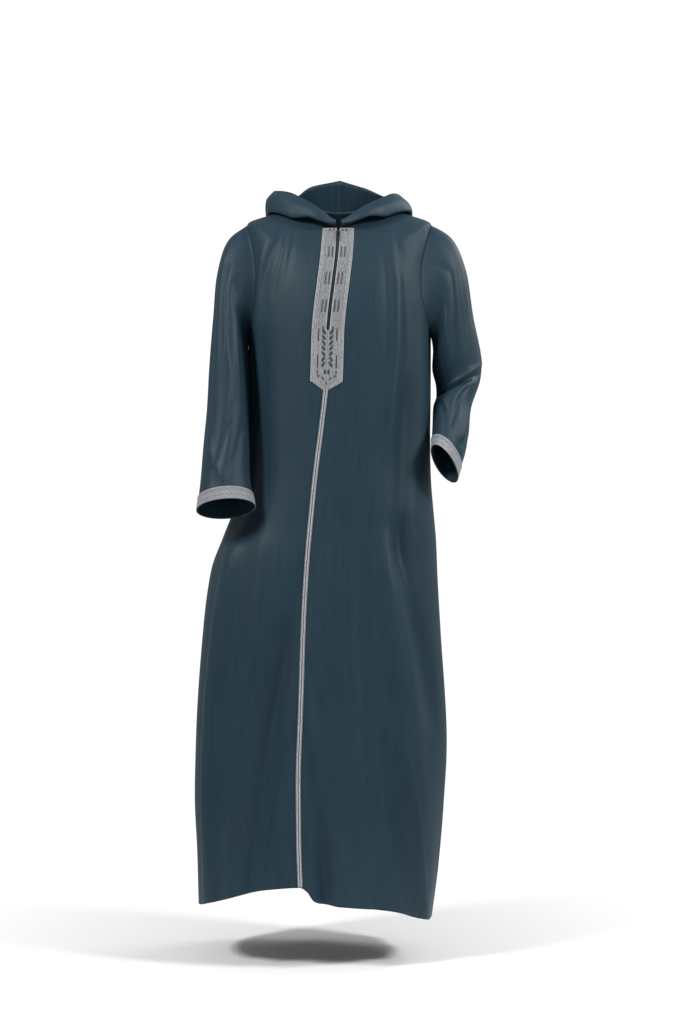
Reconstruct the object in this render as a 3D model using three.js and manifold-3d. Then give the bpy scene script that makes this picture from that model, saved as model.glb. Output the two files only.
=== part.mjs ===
// Hooded djellaba robe, worn and open at the neck, cuffs and hem, with nothing inside it.
// Millimetres, +Z up, the front faces -Y. The origin is the middle of the neck at shoulder height.
// Left and right are the wearer's, so the left sleeve lies on +X.
import * as THREE from 'three';
import Module from 'manifold-3d';

// ---- Driving dimensions ----------------------------------------------------------------------

const CLOTH = 1.6;
const TRIM = 1.2;
const HALF_SEAM = 0.2;
const TRIM_LIFT = 0.6;

const SHOULDER_LEVEL = 62;
const UNDERARM_LEVEL = 250;
const HEM_LEVEL = 1400;
const ARMHOLE_BITE_FRONT = 0.54;
const ARMHOLE_BITE_BACK = 0.44;
const ARMHOLE_STEPS = 9;

const PLACKET_HALF = 32;
const PLACKET_TOP = 11;
const PLACKET_SHOULDER = 352;
const PLACKET_TIP = 373;
const BRAID_HALF = 4.5;
const CUFF_TRIM = 26;

const ZIP_HALF_GAP = 3;
const ZIP_END = 250;
const ZIP_TAPE_HALF = 13;
const ZIP_TAPE = 1;
const CHAIN_HALF = 2.3;

const SLIT_TOP = 455;
const SLIT_BOTTOM = 565;
const SLIT_GAPE = { left: 13, right: 10 };

// Levels run down the robe: rows of the panels, from the neckline to the hem.
const YOKE_ROWS = [0, PLACKET_TOP, 36];
const BODY_ROWS = [
  257, 300, PLACKET_SHOULDER, PLACKET_TIP, 415, SLIT_TOP, 482, 510, 538, SLIT_BOTTOM,
  610, 655, 715, 790, 870, 955, 1040, 1125, 1210, 1290, 1350, HEM_LEVEL,
];

// Each section lists the outline's reach to the wearer's right and left, the depth of the front and
// the back, the x of the centre front line, and the heights of the centre front, side and back.
const SECTIONS = [
  { level: 0, right: -74, left: 74, front: -78, back: 80, centre: -3, square: 2.0 },
  { level: 30, right: -134, left: 133, front: -94, back: 98, centre: -4.5, square: 2.05 },
  { level: SHOULDER_LEVEL, right: -190, left: 187, front: -110, back: 113, centre: -7, square: 2.15 },
  { level: 130, right: -189, left: 187, front: -129, back: 127, centre: -13.5, square: 2.3 },
  { level: 190, right: -188, left: 187, front: -137, back: 132, centre: -19.5, square: 2.3 },
  { level: UNDERARM_LEVEL, right: -187, left: 186, front: -141, back: 134, centre: -24, square: 2.3 },
  { level: 350, right: -190, left: 186, front: -144, back: 138, centre: -27, square: 2.3 },
  { level: 450, right: -195, left: 185, front: -147, back: 142, centre: -37, square: 2.3 },
  { level: 540, right: -203, left: 187, front: -151, back: 147, centre: -48, square: 2.3 },
  { level: 600, right: -217, left: 192, front: -155, back: 152, centre: -54, square: 2.3 },
  { level: 655, right: -238, left: 197, front: -158, back: 157, centre: -59, square: 2.25 },
  { level: 725, right: -264, left: 200, front: -164, back: 165, centre: -65, square: 2.2 },
  { level: 830, right: -279, left: 206, front: -171, back: 175, centre: -71, square: 2.2 },
  { level: 1055, right: -295, left: 219, front: -184, back: 193, centre: -78, square: 2.15 },
  { level: 1180, right: -297, left: 212, front: -189, back: 200, centre: -82, square: 2.15 },
  { level: 1300, right: -292, left: 201, front: -191, back: 204, centre: -81, square: 2.15 },
  { level: HEM_LEVEL, right: -290, left: 187, front: -192, back: 206, centre: -78, square: 2.15 },
];
const HEIGHTS = [
  { level: 0, front: -34, side: 25, back: 16 },
  { level: 30, front: -64, side: 2, back: -14 },
  { level: SHOULDER_LEVEL, front: -97, side: -22, back: -52 },
  { level: 130, front: -152, side: -108, back: -130 },
  { level: 190, front: -200, side: -180, back: -190 },
  { level: UNDERARM_LEVEL, front: -250, side: -250, back: -250 },
];
// Height of the hem round the robe, by degrees from the centre front towards the wearer's left.
const HEM_LINE = [
  { level: -180, height: -1402 }, { level: -130, height: -1420 }, { level: -90, height: -1409 },
  { level: -70, height: -1402 }, { level: -55, height: -1391 }, { level: -40, height: -1377 },
  { level: -25, height: -1361 }, { level: -12, height: -1351 }, { level: 0, height: -1347 },
  { level: 3, height: -1356 }, { level: 5.5, height: -1374 }, { level: 9, height: -1381 },
  { level: 20, height: -1387 }, { level: 40, height: -1398 }, { level: 72, height: -1430 },
  { level: 95, height: -1436 }, { level: 135, height: -1422 }, { level: 180, height: -1402 },
];

// The largest folds: a line of places down the robe, each with its x and how far the cloth stands
// out (or, below zero, sinks in), and the fold's half width. Side -1 is the front, 1 the back.
const FOLDS = [
  {
    side: -1,
    width: 44,
    line: [
      [230, -190, 0], [300, -190, -10], [430, -190, -16], [540, -192, -22], [600, -194, -18],
      [690, -204, 0],
    ],
  },
  {
    side: -1,
    width: 15,
    line: [[60, 100, 0], [150, 114, 5], [262, 112, 6], [400, 102, 5], [520, 96, 0]],
  },
  {
    side: -1,
    width: 17,
    line: [[330, 134, 0], [420, 132, -6], [660, 122, -6], [760, 118, 0]],
  },
  {
    side: -1,
    width: 30,
    line: [[640, 96, 0], [760, 102, 9], [994, 134, 11], [1172, 152, 10], [1400, 164, 6]],
  },
  {
    side: -1,
    width: 18,
    line: [[600, 118, 0], [700, 126, -7], [950, 176, -7], [1060, 190, 0]],
  },
  {
    side: -1,
    width: 16,
    line: [[1040, 88, 0], [1113, 100, -6], [1289, 128, -8], [1400, 150, -8]],
  },
  {
    side: -1,
    width: 18,
    line: [[640, -212, 0], [700, -218, 6], [850, -246, 8], [1172, -268, 8], [1400, -262, 5]],
  },
  {
    side: -1,
    width: 24,
    line: [[840, -108, 0], [914, -118, -7], [1066, -148, -11], [1290, -172, -11], [1400, -180, -8]],
  },
  {
    side: -1,
    width: 16,
    line: [[1100, -40, 0], [1200, -36, -6], [1400, -22, -11]],
  },
  {
    side: 1,
    width: 26,
    line: [[120, 96, 0], [300, 84, 7], [700, 96, 9], [1100, 128, 12], [1400, 146, 13]],
  },
  {
    side: 1,
    width: 26,
    line: [[120, -98, 0], [300, -84, 7], [700, -112, 9], [1100, -158, 12], [1400, -176, 13]],
  },
  {
    side: 1,
    width: 28,
    line: [[300, 0, 0], [520, -4, -6], [900, -14, -10], [1400, -30, -14]],
  },
  {
    side: 1,
    width: 24,
    line: [[640, 40, 0], [900, 44, 6], [1400, 58, 10]],
  },
  {
    side: 1,
    width: 24,
    line: [[640, -62, 0], [900, -76, 6], [1400, -104, 10]],
  },
];

// Key rings of each sleeve after the armhole: the outer and inner points (x and z), then the y of
// the ring's middle, its half depth from front to back and the lean of its front edge upwards.
const SLEEVE_RINGS = {
  right: [
    { outer: [-227, -52], inner: [-190.4, -272], y: -8, depth: 67, lean: 0 },
    { outer: [-249, -122], inner: [-190, -306], y: -28, depth: 66, lean: 2 },
    { outer: [-258, -222], inner: [-188.5, -352], y: -46, depth: 64, lean: 5 },
    { outer: [-265, -330], inner: [-185.5, -406], y: -62, depth: 61, lean: 9 },
    { outer: [-271, -438], inner: [-182, -474], y: -80, depth: 60, lean: 15 },
    { outer: [-278, -528], inner: [-179, -543], y: -100, depth: 58, lean: 19 },
    { outer: [-285, -607], inner: [-170, -598], y: -121, depth: 55, lean: 21 },
  ],
  left: [
    { outer: [229, -50], inner: [189.6, -276], y: -4, depth: 66, lean: 0 },
    { outer: [257, -113], inner: [188.2, -318], y: -8, depth: 65, lean: 0 },
    { outer: [272, -206], inner: [196, -350], y: -4, depth: 63, lean: 2 },
    { outer: [292, -318], inner: [197, -374], y: 4, depth: 60, lean: 8 },
    { outer: [268, -396], inner: [190, -396], y: -22, depth: 57, lean: 20 },
    { outer: [260, -466], inner: [187, -440], y: -56, depth: 53, lean: 26 },
    { outer: [236, -540], inner: [184, -484], y: -90, depth: 50, lean: 29 },
  ],
};
const SLEEVE_SIDES = 18;
const SLEEVE_STEPS = 12;

// Sections through the worn-down hood from the front opening (0) to the centre back (1). Angle is
// the place on the neck seam in degrees; the rest are steps outwards, back and up from that seam:
// over the shoulder, to the lowest fold, up the outside, and to the free rim.
const hoodRow = ([level, angle, over, fold, side, rim]) => ({ level, angle, over, fold, side, rim });
const HOOD_SECTIONS = {
  right: [
    [0, 4, [0, -6, 3], [1, -9, 6], [1, -9, 9], [0, -6, 13]],
    [0.2, 34, [8, -13, 2], [14, -24, 0], [13, -22, 14], [8, -12, 26]],
    [0.36, 62, [18, -14, -3], [38, -25, -22], [42, -18, 6], [28, -6, 26]],
    [0.54, 92, [34, -8, -7], [72, -6, -20], [77, 8, 6], [63, 22, 26]],
    [0.76, 134, [52, 30, -19], [82, 54, -72], [82, 74, -22], [46, 56, 30]],
    [0.9, 160, [32, 44, -62], [46, 68, -205], [62, 96, -78], [36, 68, 62]],
    [1, 180, [0, 46, -76], [0, 76, -300], [0, 112, -120], [0, 72, 78]],
  ].map(hoodRow),
  left: [
    [0, 4, [0, -6, 3], [1, -9, 6], [1, -9, 9], [0, -6, 13]],
    [0.2, 34, [8, -13, 2], [15, -25, 2], [14, -22, 14], [9, -12, 24]],
    [0.36, 62, [18, -14, -3], [36, -26, -20], [44, -18, 4], [34, -4, 24]],
    [0.54, 92, [34, -8, -7], [70, -8, -18], [70, 8, -4], [52, 18, 14]],
    [0.76, 134, [52, 28, -20], [80, 54, -74], [80, 74, -24], [44, 56, 32]],
    [0.9, 160, [32, 44, -62], [46, 68, -205], [62, 96, -78], [36, 68, 56]],
    [1, 180, [0, 46, -76], [0, 76, -300], [0, 112, -120], [0, 72, 78]],
  ].map(hoodRow),
};
const HOOD_COLUMNS = 13;
const HOOD_ROWS = 10;
const HOOD_LIFT = 1.2;

// Zip slider and its pull tab, in the slider's own axes: x across, y out of the cloth, z up the zip.
const SLIDER = {
  level: 16, width: 8, length: 12, plate: 1.5, neck: 4.4, neckHeight: 2.6, bridgeWidth: 2,
  bridgeLength: 8, bridgeBar: 1.3, bridgeClear: 2.4,
};
const PULL = { width: 6, length: 17, thick: 1.1, bar: 1.2, eyeWidth: 3.4, eyeLength: 4.6, slot: 5 };

// ---- Materials -------------------------------------------------------------------------------

const finish = (color, roughness, metalness = 0) =>
  new THREE.MeshStandardMaterial({ color, roughness, metalness });
const clothFinish = () => finish(0x2f4453, 0.62);
const trimFinish = () => finish(0xa9acae, 0.7);
const zipFinish = () => finish(0x15191d, 0.55);
const metalFinish = () => finish(0x2c3634, 0.35, 0.8);

// ---- Interpolation ---------------------------------------------------------------------------

/** Smooth value of a table's column at a level, with slopes that never overshoot the rows. */
function along(table, key, level) {
  const last = table.length - 1;
  const at = Math.min(Math.max(level, table[0].level), table[last].level);
  let row = 0;
  while (row < last - 1 && at > table[row + 1].level) row += 1;
  const slope = (k) => (table[k + 1][key] - table[k][key]) / (table[k + 1].level - table[k].level);
  const tangent = (k) => {
    if (k === 0) return slope(0);
    if (k === last) return slope(last - 1);
    const before = slope(k - 1);
    const after = slope(k);
    return before * after <= 0 ? 0 : (2 * before * after) / (before + after);
  };
  const span = table[row + 1].level - table[row].level;
  const t = (at - table[row].level) / span;
  const a = table[row][key];
  const b = table[row + 1][key];
  return a * (1 + 2 * t) * (1 - t) ** 2 + b * t * t * (3 - 2 * t)
    + span * (tangent(row) * t * (1 - t) ** 2 - tangent(row + 1) * t * t * (1 - t));
}

/** Catmull-Rom point on a list of vectors, with t from 0 to 1 along the whole list. */
function splinePoint(points, t) {
  return new THREE.CatmullRomCurve3(points, false, 'centripetal').getPoint(t);
}

// ---- The robe's form -------------------------------------------------------------------------

/** Height of the robe at an angle and level: level lines above the underarm, then down to the hem. */
function heightAt(angle, level) {
  const aside = Math.sin(angle) ** 2;
  const end = Math.cos(angle) >= 0 ? 'front' : 'back';
  if (level <= UNDERARM_LEVEL) {
    return along(HEIGHTS, end, level) * (1 - aside) + along(HEIGHTS, 'side', level) * aside;
  }
  const hem = along(HEM_LINE, 'height', THREE.MathUtils.radToDeg(angle));
  const drop = (level - UNDERARM_LEVEL) / (HEM_LEVEL - UNDERARM_LEVEL);
  return -UNDERARM_LEVEL + drop * (hem + UNDERARM_LEVEL);
}

/** How far the folds push the cloth out at a level and x, on the front (-1) or the back (1). */
function foldDepth(level, x, side) {
  let depth = 0;
  for (const fold of FOLDS) {
    if (fold.side !== side) continue;
    const table = fold.line.map(([at, place, rise]) => ({ level: at, place, rise }));
    if (level < table[0].level) continue;
    const away = (x - along(table, 'place', level)) / fold.width;
    depth += along(table, 'rise', level) * Math.exp(-away * away);
  }
  return depth;
}

/** Point of the robe's outer face. Angle 0 is the centre front and grows to the wearer's left. */
function robePoint(angle, level) {
  const part = (key) => along(SECTIONS, key, level);
  const middle = (part('left') + part('right')) / 2;
  const half = (part('left') - part('right')) / 2;
  const square = part('square');
  const offset = (part('centre') - middle) / half;
  const turn = Math.sign(offset) * Math.asin(Math.abs(offset) ** (square / 2));
  const turned = angle + turn * ((1 + Math.cos(angle)) / 2) ** 2;
  const across = Math.sin(turned);
  const ahead = Math.cos(turned);
  const depth = ahead >= 0 ? part('front') : part('back');
  const x = middle + half * Math.sign(across) * Math.abs(across) ** (2 / square);
  const y = depth * Math.abs(ahead) ** (2 / square);
  const outward = new THREE.Vector3((x - middle) / half ** 2, y / depth ** 2, 0).normalize();
  const flatness = THREE.MathUtils.smoothstep(Math.abs(ahead), 0.1, 0.45);
  const rise = flatness * foldDepth(level, x, ahead >= 0 ? -1 : 1);
  return new THREE.Vector3(x, y, heightAt(angle, level)).addScaledVector(outward, rise);
}

/** Outward direction of a surface given as a function of two parameters. */
function normalOf(surface, u, v, du, dv) {
  const alongU = surface(u + du, v).sub(surface(u - du, v));
  const alongV = surface(u, v + dv).sub(surface(u, v - dv));
  return alongV.cross(alongU).normalize();
}

const robeSpot = (angle, level) => ({
  point: robePoint(angle, level),
  normal: normalOf(robePoint, angle, Math.min(Math.max(level, 1), HEM_LEVEL - 1), 0.01, 1),
});

/** Angle of a front or back panel's edge at a level: the shoulder, armhole or side seam. */
function edgeAngle(level, side, bite, towards) {
  const round = (level - SHOULDER_LEVEL) / (UNDERARM_LEVEL - SHOULDER_LEVEL);
  let angle = Math.PI / 2;
  if (round > 0 && round < 1) angle += towards * bite * Math.sqrt(1 - (2 * round - 1) ** 2);
  if (level > SLIT_TOP && level < SLIT_BOTTOM) {
    const open = Math.sin(Math.PI * (level - SLIT_TOP) / (SLIT_BOTTOM - SLIT_TOP));
    angle += towards * open * SLIT_GAPE[side] / along(SECTIONS, 'back', level);
  }
  return angle;
}

/** Angles at given distances along a level, measured over the cloth from one angle to another. */
function anglesAt(level, from, to, places) {
  const steps = 240;
  const reached = [0];
  let before = robePoint(from, level);
  for (let k = 1; k <= steps; k += 1) {
    const next = robePoint(from + (to - from) * k / steps, level);
    reached.push(reached[k - 1] + next.distanceTo(before));
    before = next;
  }
  return places(reached[steps]).map((place) => {
    let k = 1;
    while (k < steps && reached[k] < place) k += 1;
    const part = (place - reached[k - 1]) / (reached[k] - reached[k - 1]);
    return from + (to - from) * (k - 1 + part) / steps;
  });
}

const panelLevels = [
  ...YOKE_ROWS,
  ...Array.from({ length: ARMHOLE_STEPS + 1 }, (_, k) => SHOULDER_LEVEL
    + (UNDERARM_LEVEL - SHOULDER_LEVEL) * (1 - Math.cos(Math.PI * k / ARMHOLE_STEPS)) / 2),
  ...BODY_ROWS,
];
const sideSign = { left: 1, right: -1 };

// ---- Walls -----------------------------------------------------------------------------------

/** Closed wall over a grid of spots, from one height above them to another. */
function wall(rows, inner, outer, { ring = false, keep = () => true } = {}) {
  const width = rows[0].length;
  const columns = ring ? width : width - 1;
  const quads = [];
  for (let r = 0; r < rows.length - 1; r += 1) {
    for (let c = 0; c < columns; c += 1) {
      const next = (c + 1) % width;
      const quad = [r * width + c, (r + 1) * width + c, (r + 1) * width + next, r * width + next];
      if (keep(r, c)) quads.push(quad);
    }
  }
  const edges = new Set();
  for (const quad of quads) quad.forEach((from, k) => edges.add(`${from},${quad[(k + 1) % 4]}`));
  const skins = rows.length * width;
  const triangles = [];
  for (const [a, b, c, d] of quads) {
    triangles.push(a, b, c, a, c, d);
    triangles.push(skins + a, skins + c, skins + b, skins + a, skins + d, skins + c);
  }
  for (const edge of edges) {
    const [from, to] = edge.split(',').map(Number);
    if (!edges.has(`${to},${from}`)) triangles.push(from, skins + from, skins + to, from, skins + to, to);
  }
  const spots = rows.flat();
  const positions = [outer, inner].flatMap((height) => spots.flatMap(({ point, normal }) =>
    point.clone().addScaledVector(normal, height).toArray()));
  return compact(positions, triangles);
}

/** Geometry of the used vertices only, with its faces turned outwards. */
function compact(positions, triangles) {
  const corner = (index) => new THREE.Vector3().fromArray(positions, 3 * index);
  let volume = 0;
  for (let k = 0; k < triangles.length; k += 3) {
    volume += corner(triangles[k]).dot(corner(triangles[k + 1]).cross(corner(triangles[k + 2])));
  }
  const order = volume < 0 ? triangles.slice().reverse() : triangles;
  const used = new Map();
  const kept = [];
  const index = order.map((old) => {
    if (!used.has(old)) {
      used.set(old, used.size);
      kept.push(...positions.slice(3 * old, 3 * old + 3));
    }
    return used.get(old);
  });
  const geometry = new THREE.BufferGeometry();
  geometry.setAttribute('position', new THREE.Float32BufferAttribute(kept, 3));
  geometry.setIndex(index);
  return geometry;
}

const robe = new THREE.Group();

function addPiece(name, geometry, material, parent = robe) {
  const mesh = new THREE.Mesh(geometry, material);
  mesh.name = name;
  parent.add(mesh);
  return mesh;
}

// ---- Panels ----------------------------------------------------------------------------------

const frontStart = (level) => (level <= ZIP_END ? ZIP_HALF_GAP : HALF_SEAM);

/** Front panel of one side, from the centre front to the shoulder, armhole and side seam. */
function frontPanel(side) {
  const evenColumns = 8;
  const rows = panelLevels.map((level) => {
    const edge = edgeAngle(level, side, ARMHOLE_BITE_FRONT, -1);
    const angles = anglesAt(level, 0, sideSign[side] * edge, (length) => {
      const start = PLACKET_HALF;
      const rest = length - HALF_SEAM - start;
      const even = Array.from({ length: evenColumns }, (_, k) => start + rest * (k + 1) / evenColumns);
      return [frontStart(level), 10, 21, start, ...even];
    });
    return angles.map((angle) => robeSpot(angle, level));
  });
  return wall(rows, -CLOTH, 0);
}

/** Back panel, from the right shoulder, armhole and side seam round to the left ones. */
function backPanel() {
  const columns = 14;
  const rows = panelLevels.map((level) => {
    const half = (side) => anglesAt(
      level,
      sideSign[side] * Math.PI,
      sideSign[side] * edgeAngle(level, side, ARMHOLE_BITE_BACK, 1),
      (length) => Array.from({ length: columns / 2 + 1 }, (_, k) => (length - HALF_SEAM) * 2 * k / columns),
    );
    const right = half('right').reverse();
    return [...right, ...half('left').slice(1)].map((angle) => robeSpot(angle, level));
  });
  return wall(rows, -CLOTH, 0);
}

// ---- Sleeves ---------------------------------------------------------------------------------

/** Point of the armhole at a turn from its top (0) over the front (90 degrees) to the back. */
function armholePoint(side, turn) {
  const level = SHOULDER_LEVEL + (UNDERARM_LEVEL - SHOULDER_LEVEL) * (1 - Math.cos(turn)) / 2;
  const front = Math.sin(turn) >= 0;
  const bite = front ? ARMHOLE_BITE_FRONT : ARMHOLE_BITE_BACK;
  const angle = edgeAngle(level, side, bite, front ? -1 : 1);
  return robePoint(sideSign[side] * angle, level).add(new THREE.Vector3(sideSign[side] * 0.6, 0, 0));
}

function ringPoint(ring, turn) {
  const outer = new THREE.Vector3(ring.outer[0], ring.y, ring.outer[1]);
  const inner = new THREE.Vector3(ring.inner[0], ring.y, ring.inner[1]);
  const lean = THREE.MathUtils.degToRad(ring.lean);
  const ahead = new THREE.Vector3(0, -Math.cos(lean), Math.sin(lean)).multiplyScalar(ring.depth);
  return outer.clone().add(inner).multiplyScalar(0.5)
    .addScaledVector(outer.sub(inner), Math.cos(turn) / 2)
    .addScaledVector(ahead, Math.sin(turn));
}

function sleevePoint(side, turn, t) {
  const keys = [armholePoint(side, turn), ...SLEEVE_RINGS[side].map((ring) => ringPoint(ring, turn))];
  return splinePoint(keys, Math.min(Math.max(t, 0), 1));
}

/** Ring of spots round a sleeve at a place from the armhole (0) to the cuff (1). */
function sleeveRing(side, t) {
  const surface = (turn, place) => sleevePoint(side, turn, place);
  return Array.from({ length: SLEEVE_SIDES }, (_, k) => {
    const turn = 2 * Math.PI * k / SLEEVE_SIDES;
    const safe = Math.min(Math.max(t, 0.02), 0.98);
    const normal = normalOf(surface, turn, safe, 0.02, 0.01).multiplyScalar(-sideSign[side]);
    return { point: surface(turn, t), normal };
  });
}

/** Middle of a sleeve's ring at a place from the armhole (0) to the cuff (1). */
function sleeveMiddle(side, t) {
  const sum = new THREE.Vector3();
  for (let k = 0; k < SLEEVE_SIDES; k += 1) {
    sum.add(sleevePoint(side, 2 * Math.PI * k / SLEEVE_SIDES, t));
  }
  return sum.multiplyScalar(1 / SLEEVE_SIDES);
}

const sleeveLength = (side) => sleeveMiddle(side, 1).distanceTo(sleeveMiddle(side, 0.98)) / 0.02;

function sleeve(side) {
  const trimStart = 1 - CUFF_TRIM / sleeveLength(side);
  const places = [
    ...Array.from({ length: SLEEVE_STEPS }, (_, k) => trimStart * k / (SLEEVE_STEPS - 1)),
    1,
  ];
  return wall(places.map((t) => sleeveRing(side, t)), -CLOTH, 0, { ring: true });
}

function cuffTrim(side) {
  const trimStart = 1 - CUFF_TRIM / sleeveLength(side);
  const rows = [trimStart, 1].map((t) => sleeveRing(side, t));
  return wall(rows, TRIM_LIFT, TRIM_LIFT + TRIM, { ring: true });
}

// ---- Hood ------------------------------------------------------------------------------------

/** Point of a hood half: s from the front opening to the centre back, t from seam to rim. */
function hoodPoint(side, s, t) {
  const table = HOOD_SECTIONS[side];
  const angle = THREE.MathUtils.degToRad(along(table, 'angle', s));
  const seam = robePoint(sideSign[side] * angle, 0);
  seam.z += HOOD_LIFT;
  const places = ['over', 'fold', 'side', 'rim'].map((name) => {
    const axis = (k) => along(table.map((row) => ({ level: row.level, value: row[name][k] })), 'value', s);
    return seam.clone().add(new THREE.Vector3(sideSign[side] * axis(0), axis(1), axis(2)));
  });
  return splinePoint([seam, ...places], Math.min(Math.max(t, 0), 1));
}

function hoodHalf(side) {
  const surface = (s, t) => hoodPoint(side, s, t);
  const rows = Array.from({ length: HOOD_COLUMNS + 1 }, (_, column) => {
    const s = column / HOOD_COLUMNS;
    return Array.from({ length: HOOD_ROWS + 1 }, (_, row) => {
      const t = row / HOOD_ROWS;
      const [safeS, safeT] = [s, t].map((value) => Math.min(Math.max(value, 0.02), 0.98));
      const normal = normalOf(surface, safeS, safeT, 0.01, 0.01);
      const point = surface(s, t);
      if (column === HOOD_COLUMNS) {
        normal.setX(0).normalize();
        point.setX(sideSign[side] * HALF_SEAM);
      }
      return { point, normal: normal.multiplyScalar(sideSign[side]) };
    });
  });
  return wall(rows, 0, CLOTH);
}

// ---- Trims on the front ----------------------------------------------------------------------

/** Spots across the centre front at a level, at signed distances over the cloth. */
function frontSpots(level, distances) {
  return distances.map((distance) => {
    const [angle] = anglesAt(level, 0, Math.sign(distance || 1) * 1.2, () => [Math.abs(distance)]);
    return robeSpot(angle, level);
  });
}

function placket() {
  const levels = panelLevels.filter((level) => level >= PLACKET_TOP && level <= PLACKET_TIP);
  const rows = levels.map((level) => {
    const start = frontStart(level);
    const wide = [start, 10, 21, PLACKET_HALF];
    const half = level < PLACKET_TIP ? wide : wide.map((_, k) => HALF_SEAM + 0.6 * k);
    return frontSpots(level, [...half.map((d) => -d).reverse(), ...half]);
  });
  const middle = 3;
  const keep = (r, c) => c !== middle || levels[r] >= ZIP_END + 1;
  return wall(rows, TRIM_LIFT, TRIM_LIFT + TRIM, { keep });
}

function centreBraid() {
  const levels = [PLACKET_TIP + 1, ...panelLevels.filter((level) => level > PLACKET_TIP + 1)];
  const rows = levels.map((level) => frontSpots(level, [-BRAID_HALF, 0, BRAID_HALF]));
  return wall(rows, TRIM_LIFT, TRIM_LIFT + TRIM);
}

// ---- Zip -------------------------------------------------------------------------------------

const zipLevels = panelLevels.filter((level) => level <= ZIP_END);
const TAPE_TOP = -CLOTH - 0.4;

function zipTape(side) {
  const sign = sideSign[side];
  const rows = zipLevels.map((level) => frontSpots(level, [sign * 0.3, sign * 6, sign * ZIP_TAPE_HALF]));
  return wall(rows, TAPE_TOP - ZIP_TAPE, TAPE_TOP);
}

function zipChain() {
  const rows = zipLevels.slice(1).map((level) => frontSpots(level, [-CHAIN_HALF, 0, CHAIN_HALF]));
  return wall(rows, TAPE_TOP + 0.4, -0.1);
}

/** Group on the zip whose y points out of the cloth, z up the zip and x across it. */
function sliderGroup() {
  const spot = robeSpot(0, SLIDER.level);
  const group = new THREE.Group();
  group.position.copy(spot.point);
  group.rotation.x = Math.atan2(spot.normal.z, spot.normal.y);
  return group;
}

const wasm = await Module();
wasm.setup();

/** Solid of a closed geometry, with the corners that share a place merged. */
function manifoldOf(geometry) {
  const positions = geometry.attributes.position.array;
  const seen = new Map();
  const vertices = [];
  const merged = [];
  for (let k = 0; k < positions.length; k += 3) {
    const key = [0, 1, 2].map((axis) => Math.round(positions[k + axis] * 1e4)).join(',');
    if (!seen.has(key)) {
      seen.set(key, seen.size);
      vertices.push(positions[k], positions[k + 1], positions[k + 2]);
    }
    merged.push(seen.get(key));
  }
  const index = geometry.index ? Array.from(geometry.index.array, (k) => merged[k]) : merged;
  return new wasm.Manifold(new wasm.Mesh({
    numProp: 3,
    vertProperties: new Float32Array(vertices),
    triVerts: new Uint32Array(index),
  }));
}

/** Joins two overlapping closed geometries into one. */
function join(a, b) {
  const result = manifoldOf(a).add(manifoldOf(b)).getMesh();
  const geometry = new THREE.BufferGeometry();
  geometry.setAttribute('position', new THREE.BufferAttribute(result.vertProperties, 3));
  geometry.setIndex(new THREE.BufferAttribute(result.triVerts, 1));
  return geometry;
}

const BRIDGE_FOOT = SLIDER.neckHeight + SLIDER.plate;
const HINGE_HEIGHT = BRIDGE_FOOT + SLIDER.bridgeClear / 2;

/** Slider: a plate on a narrow neck, with a lengthwise bridge that holds the pull. */
function zipSlider() {
  const { width, length, neck, neckHeight } = SLIDER;
  const profile = new THREE.Shape([
    [-neck / 2, 0.3], [neck / 2, 0.3], [neck / 2, neckHeight], [width / 2, neckHeight],
    [width / 2, BRIDGE_FOOT - 0.5], [width / 2 - 0.6, BRIDGE_FOOT], [0.6 - width / 2, BRIDGE_FOOT],
    [-width / 2, BRIDGE_FOOT - 0.5], [-width / 2, neckHeight], [-neck / 2, neckHeight],
  ].map(([x, y]) => new THREE.Vector2(x, y)));
  const body = new THREE.ExtrudeGeometry(profile, { depth: length, bevelEnabled: false });
  body.translate(0, 0, -length / 2);
  const reach = SLIDER.bridgeLength / 2;
  const top = SLIDER.bridgeClear + SLIDER.bridgeBar;
  const arch = new THREE.Shape();
  arch.moveTo(-reach, -0.4);
  arch.lineTo(-reach, top - 1);
  arch.quadraticCurveTo(-reach, top, 1 - reach, top);
  arch.lineTo(reach - 1, top);
  arch.quadraticCurveTo(reach, top, reach, top - 1);
  arch.lineTo(reach, -0.4);
  arch.lineTo(reach - SLIDER.bridgeBar, -0.4);
  arch.lineTo(reach - SLIDER.bridgeBar, SLIDER.bridgeClear);
  arch.lineTo(SLIDER.bridgeBar - reach, SLIDER.bridgeClear);
  arch.lineTo(SLIDER.bridgeBar - reach, -0.4);
  const bridge = new THREE.ExtrudeGeometry(arch, {
    depth: SLIDER.bridgeWidth, bevelEnabled: false, curveSegments: 4,
  });
  bridge.translate(0, 0, -SLIDER.bridgeWidth / 2);
  bridge.rotateY(-Math.PI / 2);
  bridge.translate(0, BRIDGE_FOOT, 0);
  return join(body, bridge);
}

/** Pull tab: a rounded plate with an eye round the bridge and a slot near its free end. */
function zipPull() {
  const { width, length, thick, bar, eyeWidth, eyeLength, slot } = PULL;
  const tab = new THREE.Shape();
  const half = width / 2;
  tab.moveTo(-half, bar / 2);
  tab.lineTo(-half, half - length);
  tab.absarc(0, half - length, half, Math.PI, 2 * Math.PI, false);
  tab.lineTo(half, bar / 2);
  const eye = new THREE.Path([
    [-eyeWidth / 2, -bar / 2], [-eyeWidth / 2, -bar / 2 - eyeLength],
    [eyeWidth / 2, -bar / 2 - eyeLength], [eyeWidth / 2, -bar / 2],
  ].map(([x, y]) => new THREE.Vector2(x, y)));
  const hole = new THREE.Path();
  const holeTop = -bar / 2 - eyeLength - 2;
  hole.absarc(0, holeTop, 1.1, 0, Math.PI, false);
  hole.absarc(0, holeTop - slot, 1.1, Math.PI, 2 * Math.PI, false);
  tab.holes.push(eye, hole);
  const plate = new THREE.ExtrudeGeometry(tab, { depth: thick, bevelEnabled: false, curveSegments: 8 });
  plate.translate(0, 0, -thick / 2);
  plate.rotateX(Math.PI / 2);
  return plate;
}

// ---- Assembly --------------------------------------------------------------------------------

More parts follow.
